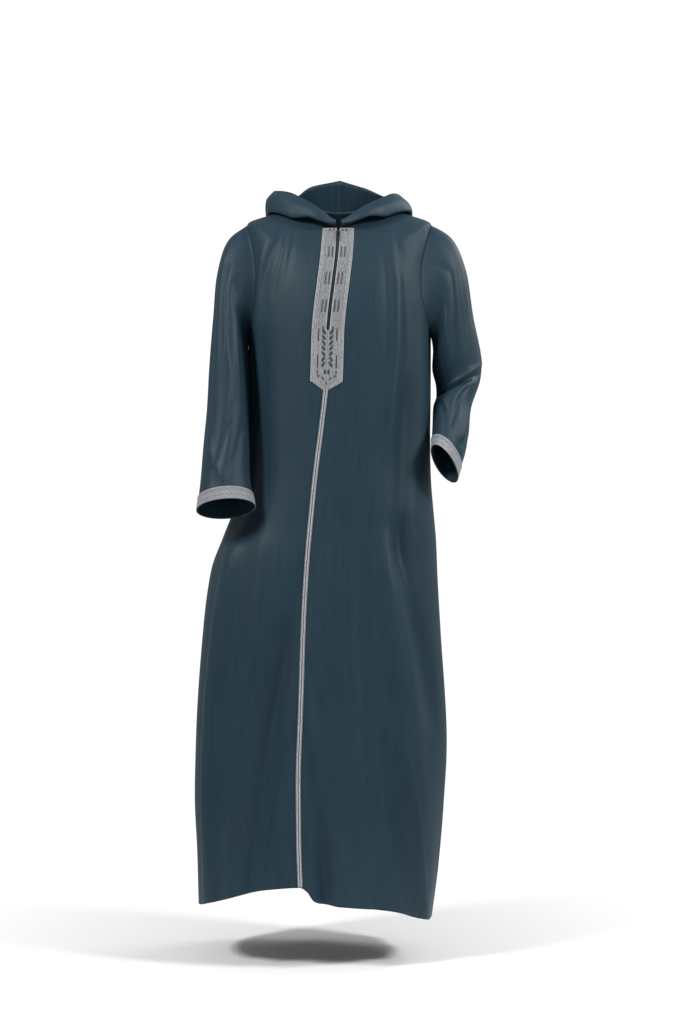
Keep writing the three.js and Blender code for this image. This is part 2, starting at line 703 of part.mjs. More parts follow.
for (const side of ['left', 'right']) {
  addPiece(`front_${side}`, frontPanel(side), clothFinish());
  addPiece(`sleeve_${side}`, sleeve(side), clothFinish());
  addPiece(`hood_${side}`, hoodHalf(side), clothFinish());
  addPiece(`cuff_trim_${side}`, cuffTrim(side), trimFinish());
  addPiece(`zip_tape_${side}`, zipTape(side), zipFinish());
}
addPiece('back', backPanel(), clothFinish());
addPiece('placket', placket(), trimFinish());
addPiece('centre_braid', centreBraid(), trimFinish());
addPiece('zip_chain', zipChain(), zipFinish());

const slider = sliderGroup();
addPiece('zip_slider', zipSlider(), metalFinish(), slider);
const pull = addPiece('zip_pull', zipPull(), metalFinish(), slider);
pull.position.y = HINGE_HEIGHT;
pull.rotation.x = Math.PI;
robe.add(slider);

export default robe;
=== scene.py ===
"""Dresses a hooded djellaba robe: cloth shells, embroidery, zip, light and camera.

Form tables are in millimetres, on the part's own axes: -Y is the front, +X the wearer's left, and
the origin is the middle of the neck at shoulder height. Meshes are in metres.
"""

import logging
import math
from collections.abc import Callable, Sequence
from dataclasses import dataclass, field
from enum import Enum
from typing import Any

import bmesh
import bpy
import numpy as np
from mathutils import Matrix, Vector, noise


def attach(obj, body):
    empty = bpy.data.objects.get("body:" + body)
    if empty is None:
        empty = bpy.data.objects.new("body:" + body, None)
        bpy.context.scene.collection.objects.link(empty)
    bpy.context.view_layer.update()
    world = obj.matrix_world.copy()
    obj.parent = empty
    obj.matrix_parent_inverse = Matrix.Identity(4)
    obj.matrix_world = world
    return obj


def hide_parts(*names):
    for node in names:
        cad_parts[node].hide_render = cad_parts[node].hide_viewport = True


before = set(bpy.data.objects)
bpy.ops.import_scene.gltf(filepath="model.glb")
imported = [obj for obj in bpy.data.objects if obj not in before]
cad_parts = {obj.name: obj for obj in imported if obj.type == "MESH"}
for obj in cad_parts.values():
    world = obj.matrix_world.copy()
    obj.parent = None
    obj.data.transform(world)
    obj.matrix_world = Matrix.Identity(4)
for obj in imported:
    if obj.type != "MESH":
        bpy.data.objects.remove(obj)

LOG = logging.getLogger("djellaba")
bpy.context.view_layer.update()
MM = 0.001
CLOTH = 1.1
SHOULDER = 62.0
UNDERARM = 250.0
HEM = 1400.0
CUFF_TRIM = 26.0
ZIP_END = 250.0
ZIP_SLOT = 3.0
SEAM_GAP = 0.25
SLIT_TOP = 455.0
SLIT_LENGTH = 110.0


class Side(Enum):
    """Side of the wearer, by the sign of its x."""

    LEFT = 1
    RIGHT = -1

    @property
    def word(self) -> str:
        """Name used in node names."""
        return self.name.lower()


# ---- Smooth tables ---------------------------------------------------------------------------


@dataclass(frozen=True)
class Curve:
    """Smooth line through (place, value) pairs, which never overshoots them."""

    pairs: tuple[tuple[float, float], ...]

    def __call__(self, at: np.ndarray | float) -> np.ndarray:
        """Value of the line.

        Args:
            at: Places along the line; beyond its ends the end values hold.

        Returns:
            One value for each place.
        """
        places, values = (np.array(row, float) for row in zip(*self.pairs))
        slopes = np.diff(values) / np.diff(places)
        tangents = np.zeros_like(values)
        before, after = slopes[:-1], slopes[1:]
        agree = before * after > 0
        total = np.where(agree, before + after, 1.0)
        tangents[1:-1] = np.where(agree, 2 * before * after / total, 0.0)
        tangents[0], tangents[-1] = slopes[0], slopes[-1]
        at = np.clip(np.asarray(at, float), places[0], places[-1])
        row = np.clip(np.searchsorted(places, at, side="right") - 1, 0, len(slopes) - 1)
        span = places[row + 1] - places[row]
        t = (at - places[row]) / span
        blend = values[row] * (1 + 2 * t) * (1 - t) ** 2 + values[row + 1] * t * t * (3 - 2 * t)
        return blend + span * t * (1 - t) * (tangents[row] * (1 - t) - tangents[row + 1] * t)


def smoothstep(value: np.ndarray, low: float, high: float) -> np.ndarray:
    """Soft step from 0 at low to 1 at high."""
    t = np.clip((value - low) / (high - low), 0, 1)
    return t * t * (3 - 2 * t)


def normalized(vectors: np.ndarray) -> np.ndarray:
    """Vectors with their lengths made 1."""
    return vectors / np.maximum(np.linalg.norm(vectors, axis=-1, keepdims=True), 1e-9)


def catmull_rom(keys: Sequence[np.ndarray], t: np.ndarray,
                before: np.ndarray | None = None) -> np.ndarray:
    """Centripetal Catmull-Rom point on lists of key points, each of shape (n, 3).

    Args:
        keys: The key points, in order along the curve.
        t: Place along each curve, from 0 to 1, with the keys evenly spaced.
        before: Points that each curve comes from, or None for a straight start.

    Returns:
        Points of shape (n, 3).
    """
    first = 2 * keys[0] - keys[1] if before is None else before
    stack = np.stack([first, *keys, 2 * keys[-1] - keys[-2]])
    count = len(keys) - 1
    scaled = np.clip(t, 0, 1) * count
    row = np.minimum(scaled.astype(int), count - 1)
    part = (scaled - row)[:, None]
    lane = np.arange(len(t))
    a, b, c, d = (stack[row + k, lane] for k in range(4))
    gaps = [np.sqrt(np.maximum(np.linalg.norm(q - p, axis=1), 1e-6))[:, None]
            for p, q in ((a, b), (b, c), (c, d))]
    start = ((b - a) / gaps[0] - (c - a) / (gaps[0] + gaps[1]) + (c - b) / gaps[1]) * gaps[1]
    end = ((c - b) / gaps[1] - (d - b) / (gaps[1] + gaps[2]) + (d - c) / gaps[2]) * gaps[1]
    square, cube = part**2, part**3
    return (b * (2 * cube - 3 * square + 1) + c * (3 * square - 2 * cube)
            + start * (cube - 2 * square + part) + end * (cube - square))


# ---- The robe's form -------------------------------------------------------------------------


@dataclass(frozen=True)
class Fold:
    """Ridge (or trough, below zero) that runs down the cloth past a list of places.

    Attributes:
        front: True on the front of the robe, False on its back.
        width: Half width, in millimetres.
        line: Level, x and rise of each place.
        pinch: 2 is a soft round fold, towards 1 a pinched one.
    """

    front: bool
    width: float
    line: tuple[tuple[float, float, float], ...]
    pinch: float = 2.0

    def rise(self, level: np.ndarray, x: np.ndarray) -> np.ndarray:
        """How far the fold pushes the cloth out at levels and x."""
        place = Curve(tuple((row[0], row[1]) for row in self.line))(level)
        height = Curve(tuple((row[0], row[2]) for row in self.line))(level)
        away = np.abs(x - place) / self.width
        return np.where(level < self.line[0][0], 0.0, height * np.exp(-(away**self.pinch)))


LARGE_FOLDS = (
    Fold(True, 44, ((230, -190, 0), (300, -190, -10), (430, -190, -16), (540, -192, -22), (600, -194, -18),
                    (690, -204, 0))),
    Fold(True, 15, ((60, 100, 0), (150, 114, 7.2), (262, 112, 8.7), (400, 102, 7.2), (520, 96, 0))),
    Fold(True, 17, ((330, 134, 0), (420, 132, -8.7), (660, 122, -8.7), (760, 118, 0))),
    Fold(True, 30, ((640, 96, 0), (760, 102, 13), (994, 134, 15.9), (1172, 152, 14.5), (1400, 164, 8.7))),
    Fold(True, 18, ((600, 118, 0), (700, 126, -10.2), (950, 176, -10.2), (1060, 190, 0))),
    Fold(True, 16, ((1040, 88, 0), (1113, 100, -8.7), (1289, 128, -11.6), (1400, 150, -11.6))),
    Fold(True, 18, ((640, -212, 0), (700, -218, 8.7), (850, -246, 11.6), (1172, -268, 11.6),
                    (1400, -262, 7.2))),
    Fold(True, 24, ((840, -108, 0), (914, -118, -10.2), (1066, -148, -15.9), (1290, -172, -15.9),
                    (1400, -180, -11.6))),
    Fold(True, 16, ((1100, -40, 0), (1200, -36, -8.7), (1400, -22, -15.9))),
    Fold(False, 26, ((120, 96, 0), (300, 84, 7), (700, 96, 9), (1100, 128, 12), (1400, 146, 13))),
    Fold(False, 26, ((120, -98, 0), (300, -84, 7), (700, -112, 9), (1100, -158, 12), (1400, -176, 13))),
    Fold(False, 28, ((300, 0, 0), (520, -4, -6), (900, -14, -10), (1400, -30, -14))),
    Fold(False, 24, ((640, 40, 0), (900, 44, 6), (1400, 58, 10))),
    Fold(False, 24, ((640, -62, 0), (900, -76, 6), (1400, -104, 10))),
)

SMALL_FOLDS = (
    Fold(True, 7, ((30, -118, 0), (60, -126, -4.5), (130, -150, -3.8), (210, -164, 0)), 1.5),
    Fold(True, 6, ((26, -104, 0), (55, -112, -3.8), (120, -126, -3), (190, -136, 0)), 1.5),
    Fold(True, 5, ((22, -88, 0), (48, -95, -2.7), (100, -104, -1.8), (150, -110, 0)), 1.5),
    Fold(True, 9, ((40, -136, 0), (110, -156, 4.5), (300, -168, 6), (420, -166, 0)), 1.8),
    Fold(True, 7, ((30, 112, 0), (60, 116, -3), (150, 128, -3), (330, 138, 0)), 1.5),
    Fold(True, 8, ((60, 84, 0), (110, 92, -2.2), (260, 98, -2.2), (380, 94, 0)), 1.6),
    Fold(True, 14, ((120, 160, 0), (220, 168, 6), (420, 168, 7.5), (560, 160, 0)), 1.8),
    Fold(True, 9, ((900, -60, 0), (1000, -46, -3.8), (1080, -30, 0)), 1.5),
    Fold(True, 9, ((1110, -66, 0), (1240, -50, -6), (1400, -34, -7.5)), 1.4),
    Fold(True, 10, ((1080, -96, 0), (1180, -130, -7.5), (1330, -152, -4.5), (1400, -156, -3)), 1.5),
    Fold(True, 8, ((1040, 120, 0), (1180, 140, 6), (1400, 166, 4.5)), 1.6),
    Fold(True, 7, ((700, -236, 0), (860, -262, -4.5), (1100, -282, -5.2), (1400, -280, -4.5)), 1.5),
    Fold(True, 12, ((560, 60, 0), (800, 40, -3.8), (1120, 52, -4.5), (1400, 70, -4.5)), 1.8),
    Fold(True, 14, ((620, -150, 0), (860, -172, 5.2), (1150, -206, 6), (1400, -214, 6)), 1.8),
    Fold(True, 9, ((430, 174, 0), (480, 181, 6), (540, 184, 6), (600, 182, 0)), 1.6),
    Fold(True, 22, ((700, -58, 0), (840, -92, -7), (1040, -128, -9), (1180, -142, -4), (1300, -150, 0)), 1.7),
    Fold(True, 12, ((1000, -60, 0), (1120, -44, 5), (1300, -18, 6), (1400, -8, 5)), 1.7),
    Fold(False, 10, ((300, 128, 0), (500, 132, -6), (900, 160, -7.5), (1400, 178, -7.5)), 1.6),
    Fold(False, 10, ((300, -128, 0), (560, -136, -6), (900, -190, -7.5), (1400, -214, -7.5)), 1.6),
    Fold(False, 12, ((520, 18, 0), (800, 16, 4.5), (1400, 20, 6)), 1.7),
    Fold(False, 12, ((560, -36, 0), (900, -44, 4.5), (1400, -66, 6)), 1.7),
)


@dataclass(frozen=True)
class RobeForm:
    """Outer face of the robe as a function of angle (0 at the centre front) and level."""

    right: Curve = Curve((
        (0, -74), (30, -134), (62, -190), (130, -189), (190, -188), (250, -187), (350, -190),
        (450, -195), (540, -203), (600, -217), (655, -238), (725, -264), (830, -279), (1055, -295),
        (1180, -297), (1300, -292), (1400, -290)))
    left: Curve = Curve((
        (0, 74), (30, 133), (62, 187), (130, 187), (190, 187), (250, 186), (350, 186), (450, 185),
        (540, 187), (600, 192), (655, 197), (725, 200), (830, 206), (1055, 219), (1180, 212),
        (1300, 201), (1400, 187)))
    front: Curve = Curve((
        (0, -78), (30, -94), (62, -110), (130, -129), (190, -137), (250, -141), (350, -144),
        (450, -147), (540, -151), (600, -155), (655, -158), (725, -164), (830, -171),
        (1055, -184), (1180, -189), (1300, -191), (1400, -192)))
    back: Curve = Curve((
        (0, 80), (30, 98), (62, 113), (130, 127), (190, 132), (250, 134), (350, 138), (450, 142),
        (540, 147), (600, 152), (655, 157), (725, 165), (830, 175), (1055, 193), (1180, 200),
        (1300, 204), (1400, 206)))
    centre: Curve = Curve((
        (0, -3), (30, -4.5), (62, -7), (130, -13.5), (190, -19.5), (250, -24), (350, -27), (450, -37),
        (540, -48), (600, -54), (655, -59), (725, -65), (830, -71), (1055, -78), (1180, -82),
        (1300, -81), (1400, -78)))
    square: Curve = Curve((
        (0, 2.0), (30, 2.05), (62, 2.15), (130, 2.3), (600, 2.3), (655, 2.25), (725, 2.2),
        (830, 2.2), (1055, 2.15), (1400, 2.15)))
    front_height: Curve = Curve(((0, -34), (30, -64), (62, -97), (130, -152), (190, -200), (250, -250)))
    side_height: Curve = Curve(((0, 25), (30, 2), (62, -22), (130, -108), (190, -180), (250, -250)))
    back_height: Curve = Curve(((0, 16), (30, -14), (62, -52), (130, -130), (190, -190), (250, -250)))
    hem_height: Curve = Curve((
        (-180, -1402), (-130, -1420), (-90, -1409), (-70, -1402), (-55, -1391), (-40, -1377),
        (-25, -1361), (-12, -1351), (0, -1347), (3, -1356), (5.5, -1374), (9, -1381), (20, -1387),
        (40, -1398), (72, -1430), (95, -1436), (135, -1422), (180, -1402)))
    folds: tuple[Fold, ...] = LARGE_FOLDS + SMALL_FOLDS
    ripple: float = 1.1

    def height(self, angle: np.ndarray, level: np.ndarray) -> np.ndarray:
        """Height above the origin at angles and levels."""
        aside = np.sin(angle) ** 2
        end = np.where(np.cos(angle) >= 0, self.front_height(level), self.back_height(level))
        above = end * (1 - aside) + self.side_height(level) * aside
        drop = (level - UNDERARM) / (HEM - UNDERARM)
        below = -UNDERARM + drop * (self.hem_height(np.degrees(angle)) + UNDERARM)
        return np.where(level <= UNDERARM, above, below)

    def point(self, angle: np.ndarray, level: np.ndarray) -> np.ndarray:
        """Points of the outer face, in millimetres.

        Args:
            angle: Angles round the robe, in radians.
            level: Levels down the robe.

        Returns:
            Points of shape (n, 3).
        """
        right, left = self.right(level), self.left(level)
        middle, half = (left + right) / 2, (left - right) / 2
        square = self.square(level)
        offset = (self.centre(level) - middle) / half
        turn = np.sign(offset) * np.arcsin(np.abs(offset) ** (square / 2))
        turned = angle + turn * ((1 + np.cos(angle)) / 2) ** 2
        across, ahead = np.sin(turned), np.cos(turned)
        depth = np.where(ahead >= 0, self.front(level), self.back(level))
        x = middle + half * np.sign(across) * np.abs(across) ** (2 / square)
        y = depth * np.abs(ahead) ** (2 / square)
        outward = np.stack([(x - middle) / half**2, y / depth**2, np.zeros_like(x)], -1)
        rise = np.zeros_like(x)
        for fold in self.folds:
            facing = ahead >= 0 if fold.front else ahead < 0
            rise += np.where(facing, fold.rise(level, x), 0.0)
        rise *= smoothstep(np.abs(ahead), 0.1, 0.45)
        place = np.stack([x, y, self.height(angle, level)], -1)
        rise += self.undulation(place, level)
        return place + normalized(outward) * rise[:, None]

    def undulation(self, place: np.ndarray, level: np.ndarray) -> np.ndarray:
        """Shallow hanging ripples of soft cloth, stronger towards the hem."""
        waves = [noise.noise(Vector((x * 0.016, y * 0.016, z * 0.0032))) for x, y, z in place]
        strength = self.ripple * (0.5 + 1.6 * smoothstep(level, 500, 1300))
        near = smoothstep(np.abs(place[:, 0] - self.centre(level)), 20, 70)
        return np.array(waves) * strength * np.where(place[:, 1] < 0, near, 1.0)


ROBE = RobeForm()


def surface_normals(surface: Callable[..., np.ndarray], u: np.ndarray, v: np.ndarray,
                    step_u: float, step_v: float) -> np.ndarray:
    """Outward directions of a surface given as a function of two parameters."""
    along_u = surface(u + step_u, v) - surface(u - step_u, v)
    along_v = surface(u, v + step_v) - surface(u, v - step_v)
    return normalized(np.cross(along_v, along_u))


def edge_angle(level: np.ndarray, bite: float, gape: float, towards: int) -> np.ndarray:
    """Angle of a panel's edge: the shoulder seam, the armhole, the side seam and its hand slit."""
    round_part = (level - SHOULDER) / (UNDERARM - SHOULDER)
    armhole = bite * np.sqrt(np.clip(1 - (2 * round_part - 1) ** 2, 0, 1))
    slit = np.sin(np.pi * np.clip((level - SLIT_TOP) / SLIT_LENGTH, 0, 1)) * gape / ROBE.back(level)
    return math.pi / 2 + towards * (armhole + slit)


def angles_at(level: float, start: float, end: float, places: np.ndarray) -> np.ndarray:
    """Angles at distances over the cloth along one level.

    Args:
        level: Level of the robe.
        start: Angle that the distances start from.
        end: Angle they run to.
        places: Distances in millimetres, or fractions of the whole where they are negative.

    Returns:
        One angle for each place.
    """
    angles = np.linspace(start, end, 241)
    points = ROBE.point(angles, np.full(angles.shape, float(level)))
    reached = np.concatenate([[0], np.cumsum(np.linalg.norm(np.diff(points, axis=0), axis=1))])
    wanted = np.where(places < 0, -places * reached[-1], places)
    return np.interp(wanted, reached, angles)


# ---- Mesh helpers ----------------------------------------------------------------------------


@dataclass
class SheetMesh:
    """Grid of cloth mapped onto a surface, with its weave laid out flat in metres.

    Attributes:
        name: Piece name.
        columns: Cells across.
        rows: Cells down.
        closed: Whether the last column meets the first.
    """

    name: str
    columns: int
    rows: int
    closed: bool = False

    def build(self, surface: Callable[[np.ndarray, np.ndarray], np.ndarray],
              flat: Callable[[np.ndarray, np.ndarray], np.ndarray]) -> bpy.types.Object:
        """Make the sheet.

        Args:
            surface: Points in millimetres for fractions across and down.
            flat: Flat cloth coordinates in metres for the same fractions.

        Returns:
            The new object; its callers turn its faces outwards.
        """
        work = bmesh.new()
        bmesh.ops.create_grid(work, x_segments=self.columns, y_segments=self.rows, size=0.5)
        u = np.array([vert.co.x + 0.5 for vert in work.verts])
        v = np.array([0.5 - vert.co.y for vert in work.verts])
        points, weave = surface(u, v) * MM, flat(u, v)
        layer = work.loops.layers.uv.new("weave")
        for face in work.faces:
            for loop in face.loops:
                loop[layer].uv = weave[loop.vert.index]
        for vert, place in zip(work.verts, points):
            vert.co = place
        if self.closed:
            bmesh.ops.remove_doubles(work, verts=work.verts, dist=2e-5)
        return finish_mesh(self.name, work)


def finish_mesh(name: str, work: bmesh.types.BMesh) -> bpy.types.Object:
    """Turn a bmesh into a smooth-shaded object in the scene."""
    mesh = bpy.data.meshes.new(name)
    work.to_mesh(mesh)
    work.free()
    mesh.shade_smooth()
    piece = bpy.data.objects.new(name, mesh)
    bpy.context.scene.collection.objects.link(piece)
    return piece


def outward(piece: bpy.types.Object, towards: Callable[[Vector], Vector]) -> None:
    """Flip a sheet whose faces look against a wanted direction."""
    mesh = piece.data
    score = sum(face.normal.dot(towards(face.center)) for face in list(mesh.polygons)[::17])
    if score < 0:
        mesh.flip_normals()


def give_wall(piece: bpy.types.Object, thickness: float, offset: float = -1.0) -> None:
    """Give a sheet its wall.

    Args:
        piece: The sheet.
        thickness: Wall in millimetres.
        offset: -1 grows inwards from the sheet, 1 outwards.
    """
    wall = piece.modifiers.new("wall", "SOLIDIFY")
    wall.thickness = thickness * MM
    wall.offset = offset
    wall.use_even_offset = False


def declare(piece: bpy.types.Object, node: str, finish: "Finish") -> None:
    """Hang a piece on the robe's body, hide the CAD part it replaces, and dress it in its finish."""
    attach(piece, "robe")
    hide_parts(node)
    piece.data.materials.clear()
    piece.data.materials.append(finish.material())
    LOG.info("%s: %d faces", piece.name, len(piece.data.polygons))


# ---- Shader helpers --------------------------------------------------------------------------


class Value:
    """Number socket with the usual operators, each of which adds its Math node."""

    def __init__(self, graph: "Graph", socket: bpy.types.NodeSocket) -> None:
        """Wrap a socket of a graph."""
        self.graph = graph
        self.socket = socket

    def _math(self, operation: str, first: Any, second: Any) -> "Value":
        """Add one Math node."""
        return self.graph.number("ShaderNodeMath", {"operation": operation}, {0: first, 1: second})

    def __add__(self, other: Any) -> "Value":
        """Sum."""
        return self._math("ADD", self, other)

    def __radd__(self, other: Any) -> "Value":
        """Sum."""
        return self._math("ADD", other, self)

    def __sub__(self, other: Any) -> "Value":
        """Difference."""
        return self._math("SUBTRACT", self, other)

    def __rsub__(self, other: Any) -> "Value":
        """Difference."""
        return self._math("SUBTRACT", other, self)

    def __mul__(self, other: Any) -> "Value":
        """Product."""
        return self._math("MULTIPLY", self, other)

    def __rmul__(self, other: Any) -> "Value":
        """Product."""
        return self._math("MULTIPLY", other, self)


class Graph:
    """Node tree of one material."""

    def __init__(self, name: str) -> None:
        """Start a material with a Principled shader."""
        self.material = bpy.data.materials.new(name)
        self.material.use_nodes = True
        self.tree = self.material.node_tree
        self.shader = self.tree.nodes["Principled BSDF"]

    def node(self, kind: str, settings: dict[str, Any], inputs: dict[Any, Any]) -> bpy.types.Node:
        """Add a node.

        Args:
            kind: Node type.
            settings: Properties that are set first.
            inputs: Socket names or numbers with their values or links.

        Returns:
            The node.
        """
        node = self.tree.nodes.new(kind)
        for key, value in settings.items():
            setattr(node, key, value)
        for key, value in inputs.items():
            self.feed(node.inputs[key], value)
        return node

    def feed(self, socket: bpy.types.NodeSocket, value: Any) -> None:
        """Link or set a socket."""
        if isinstance(value, Value):
            value = value.socket
        if isinstance(value, bpy.types.NodeSocket):
            self.tree.links.new(value, socket)
        else:
            socket.default_value = value

    def number(self, kind: str, settings: dict[str, Any], inputs: dict[Any, Any],
               output: int | str = 0) -> Value:
        """Add a node and wrap one of its outputs."""
        return Value(self, self.node(kind, settings, inputs).outputs[output])

    def colour(self, factor: Any, low: Sequence[float], high: Sequence[float]) -> bpy.types.NodeSocket:
        """Mix two colours (or colour sockets) by a factor."""
        node = self.node("ShaderNodeMix", {"data_type": "RGBA"}, {0: factor, 6: low, 7: high})
        return node.outputs[2]

    def weave_uv(self) -> bpy.types.NodeSocket:
        """Flat cloth coordinates of the piece, in metres."""
        return self.node("ShaderNodeUVMap", {"uv_map": "weave"}, {}).outputs[0]

    def object_place(self) -> bpy.types.NodeSocket:
        """Place on the piece in metres."""
        return self.node("ShaderNodeTexCoord", {}, {}).outputs["Object"]

    def stretched(self, source: bpy.types.NodeSocket, scale: Sequence[float],
                  turn: float = 0.0) -> bpy.types.NodeSocket:
        """Coordinates scaled along each axis and turned in their plane."""
        node = self.node("ShaderNodeMapping", {}, {"Vector": source, "Scale": scale,
                                                   "Rotation": (0, 0, turn)})
        return node.outputs[0]

    def noise(self, source: bpy.types.NodeSocket, scale: float, detail: float = 3.0,
              rough: float = 0.55) -> Value:
        """Noise value between 0 and 1."""
        return self.number("ShaderNodeTexNoise", {}, {
            "Vector": source, "Scale": scale, "Detail": detail, "Roughness": rough})

    def bump(self, height: Any, strength: float, distance: float) -> bpy.types.NodeSocket:
        """Bump normal from a height in fractions of a distance in metres."""
        inputs = {"Height": height, "Strength": strength, "Distance": distance}
        return self.node("ShaderNodeBump", {}, inputs).outputs[0]


def linear(red: int, green: int, blue: int) -> tuple[float, float, float, float]:
    """Linear colour of 8-bit display values."""
    def part(value: int) -> float:
        """One channel."""
        share = value / 255
        return share / 12.92 if share <= 0.04045 else ((share + 0.055) / 1.055) ** 2.4
    return (part(red), part(green), part(blue), 1.0)


class Finish:
    """Base of the finishes: each makes its material once."""

    name = "finish"

    def material(self) -> bpy.types.Material:
        """The finish's material, made at its first use."""
        known = bpy.data.materials.get(self.name)
        return known if known else self.make(Graph(self.name))

    def make(self, graph: Graph) -> bpy.types.Material:
        """Build the nodes."""
        raise NotImplementedError


@dataclass(frozen=True)
class SatinCloth(Finish):
    """Satin-faced twill in dark teal blue, with slubs along the warp and a soft sheen."""

    name: str = "satin_cloth"
    light: tuple[float, ...] = linear(33, 56, 68)
    dark: tuple[float, ...] = linear(27, 47, 58)
    rough: float = 0.5
    rib: float = 1500.0

    def make(self, graph: Graph) -> bpy.types.Material:
        """Build the nodes."""
        weave = graph.weave_uv()
        streaks = graph.noise(graph.stretched(weave, (260, 9, 1)), 1.0, 4.0)
        clouds = graph.noise(graph.stretched(weave, (7, 4, 1)), 1.0, 2.0)
        fine = graph.noise(graph.stretched(weave, (900, 90, 1)), 1.0, 2.0)
        tone = 0.55 * streaks + 0.3 * clouds + 0.15 * fine
        spread = graph.number("ShaderNodeMapRange", {}, {
            "Value": tone, "From Min": 0.35, "From Max": 0.65, "To Min": 0.0, "To Max": 1.0})
        graph.feed(graph.shader.inputs["Base Color"], graph.colour(spread, self.dark, self.light))
        graph.feed(graph.shader.inputs["Roughness"], self.rough + 0.1 * (fine - 0.5))
        twill = graph.number("ShaderNodeTexWave", {"wave_type": "BANDS", "bands_direction": "X"}, {
            "Vector": graph.stretched(weave, (self.rib, self.rib, 1), 0.5), "Scale": 1.0,
            "Distortion": 1.5, "Detail": 1.0}, 1)
        height = 0.5 * twill + 0.5 * streaks
        graph.feed(graph.shader.inputs["Normal"], graph.bump(height, 0.35, 0.00025))
        graph.shader.inputs["Sheen Weight"].default_value = 0.04
        graph.shader.inputs["Sheen Roughness"].default_value = 0.4
        graph.shader.inputs["Sheen Tint"].default_value = linear(150, 175, 190)
        graph.shader.inputs["Specular IOR Level"].default_value = 0.2
        return graph.material


@dataclass(frozen=True)
class SilverThread(Finish):
    """Silver-grey embroidery thread."""

    name: str = "silver_thread"
    light: tuple[float, ...] = linear(200, 202, 204)
    dark: tuple[float, ...] = linear(132, 134, 138)
    rough: float = 0.55

    def make(self, graph: Graph) -> bpy.types.Material:
        """Build the nodes."""
        place = graph.object_place()
        patch = graph.noise(place, 420.0, 2.0)
        strand = graph.noise(place, 2600.0, 2.0)
        tone = 0.6 * patch + 0.4 * strand
        spread = graph.number("ShaderNodeMapRange", {}, {
            "Value": tone, "From Min": 0.36, "From Max": 0.62, "To Min": 0.0, "To Max": 1.0})
        graph.feed(graph.shader.inputs["Base Color"], graph.colour(spread, self.dark, self.light))
        graph.feed(graph.shader.inputs["Roughness"], self.rough + 0.2 * (patch - 0.5))
        graph.feed(graph.shader.inputs["Normal"], graph.bump(strand, 0.4, 0.0002))
        graph.shader.inputs["Sheen Weight"].default_value = 0.15
        return graph.material


@dataclass(frozen=True)
class CuffGround(SilverThread):
    """Ground cloth of the cuffs, paler than the placket's."""

    name: str = "cuff_ground"
    light: tuple[float, ...] = linear(138, 140, 143)
    dark: tuple[float, ...] = linear(95, 98, 102)
    rough: float = 0.75


@dataclass(frozen=True)
class TrimGround(SilverThread):
    """Ground cloth of the trims, seen between the threads."""

    name: str = "trim_ground"
    light: tuple[float, ...] = linear(118, 121, 125)
    dark: tuple[float, ...] = linear(80, 84, 89)
    rough: float = 0.75


@dataclass(frozen=True)
class DarkThread(SilverThread):
    """Dark thread of the motifs."""

    name: str = "dark_thread"
    light: tuple[float, ...] = linear(26, 29, 34)
    dark: tuple[float, ...] = linear(12, 14, 18)
    rough: float = 0.6


@dataclass(frozen=True)
class ZipCloth(Finish):
    """Black woven zip tape with fine ribs."""

    name: str = "zip_cloth"

    def make(self, graph: Graph) -> bpy.types.Material:
        """Build the nodes."""
        place = graph.object_place()
        ribs = graph.number("ShaderNodeTexWave", {"bands_direction": "Z"}, {
            "Vector": place, "Scale": 330.0, "Distortion": 0.6}, 1)
        grain = graph.noise(place, 900.0)
        graph.feed(graph.shader.inputs["Base Color"],
                   graph.colour(ribs, linear(18, 20, 23), linear(34, 37, 41)))
        graph.feed(graph.shader.inputs["Roughness"], 0.55 + 0.2 * (grain - 0.5))
        graph.feed(graph.shader.inputs["Normal"], graph.bump(ribs, 0.5, 0.0002))
        return graph.material


@dataclass(frozen=True)
class DarkMetal(Finish):
    """Dark green-black lacquered metal, worn lighter in patches."""

    name: str = "dark_metal"

    def make(self, graph: Graph) -> bpy.types.Material:
        """Build the nodes."""
        wear = graph.noise(graph.object_place(), 700.0, 4.0)
        spread = graph.number("ShaderNodeMapRange", {}, {
            "Value": wear, "From Min": 0.45, "From Max": 0.7, "To Min": 0.0, "To Max": 1.0})
        graph.feed(graph.shader.inputs["Base Color"],
                   graph.colour(spread, linear(36, 50, 44), linear(96, 108, 102)))
        graph.feed(graph.shader.inputs["Roughness"], 0.3 + 0.25 * spread)
        graph.feed(graph.shader.inputs["Normal"], graph.bump(wear, 0.2, 0.0001))
        graph.shader.inputs["Metallic"].default_value = 0.8
        return graph.material


# ---- Robe panels -----------------------------------------------------------------------------

LEVEL_OF_ROW = Curve(((0, 0), (0.07, SHOULDER), (0.1, 66), (0.17, 156), (0.24, 246), (0.27, 256), (1, HEM)))
"""Level of each row of a panel by fraction down it, with rows close together at the armhole's ends."""


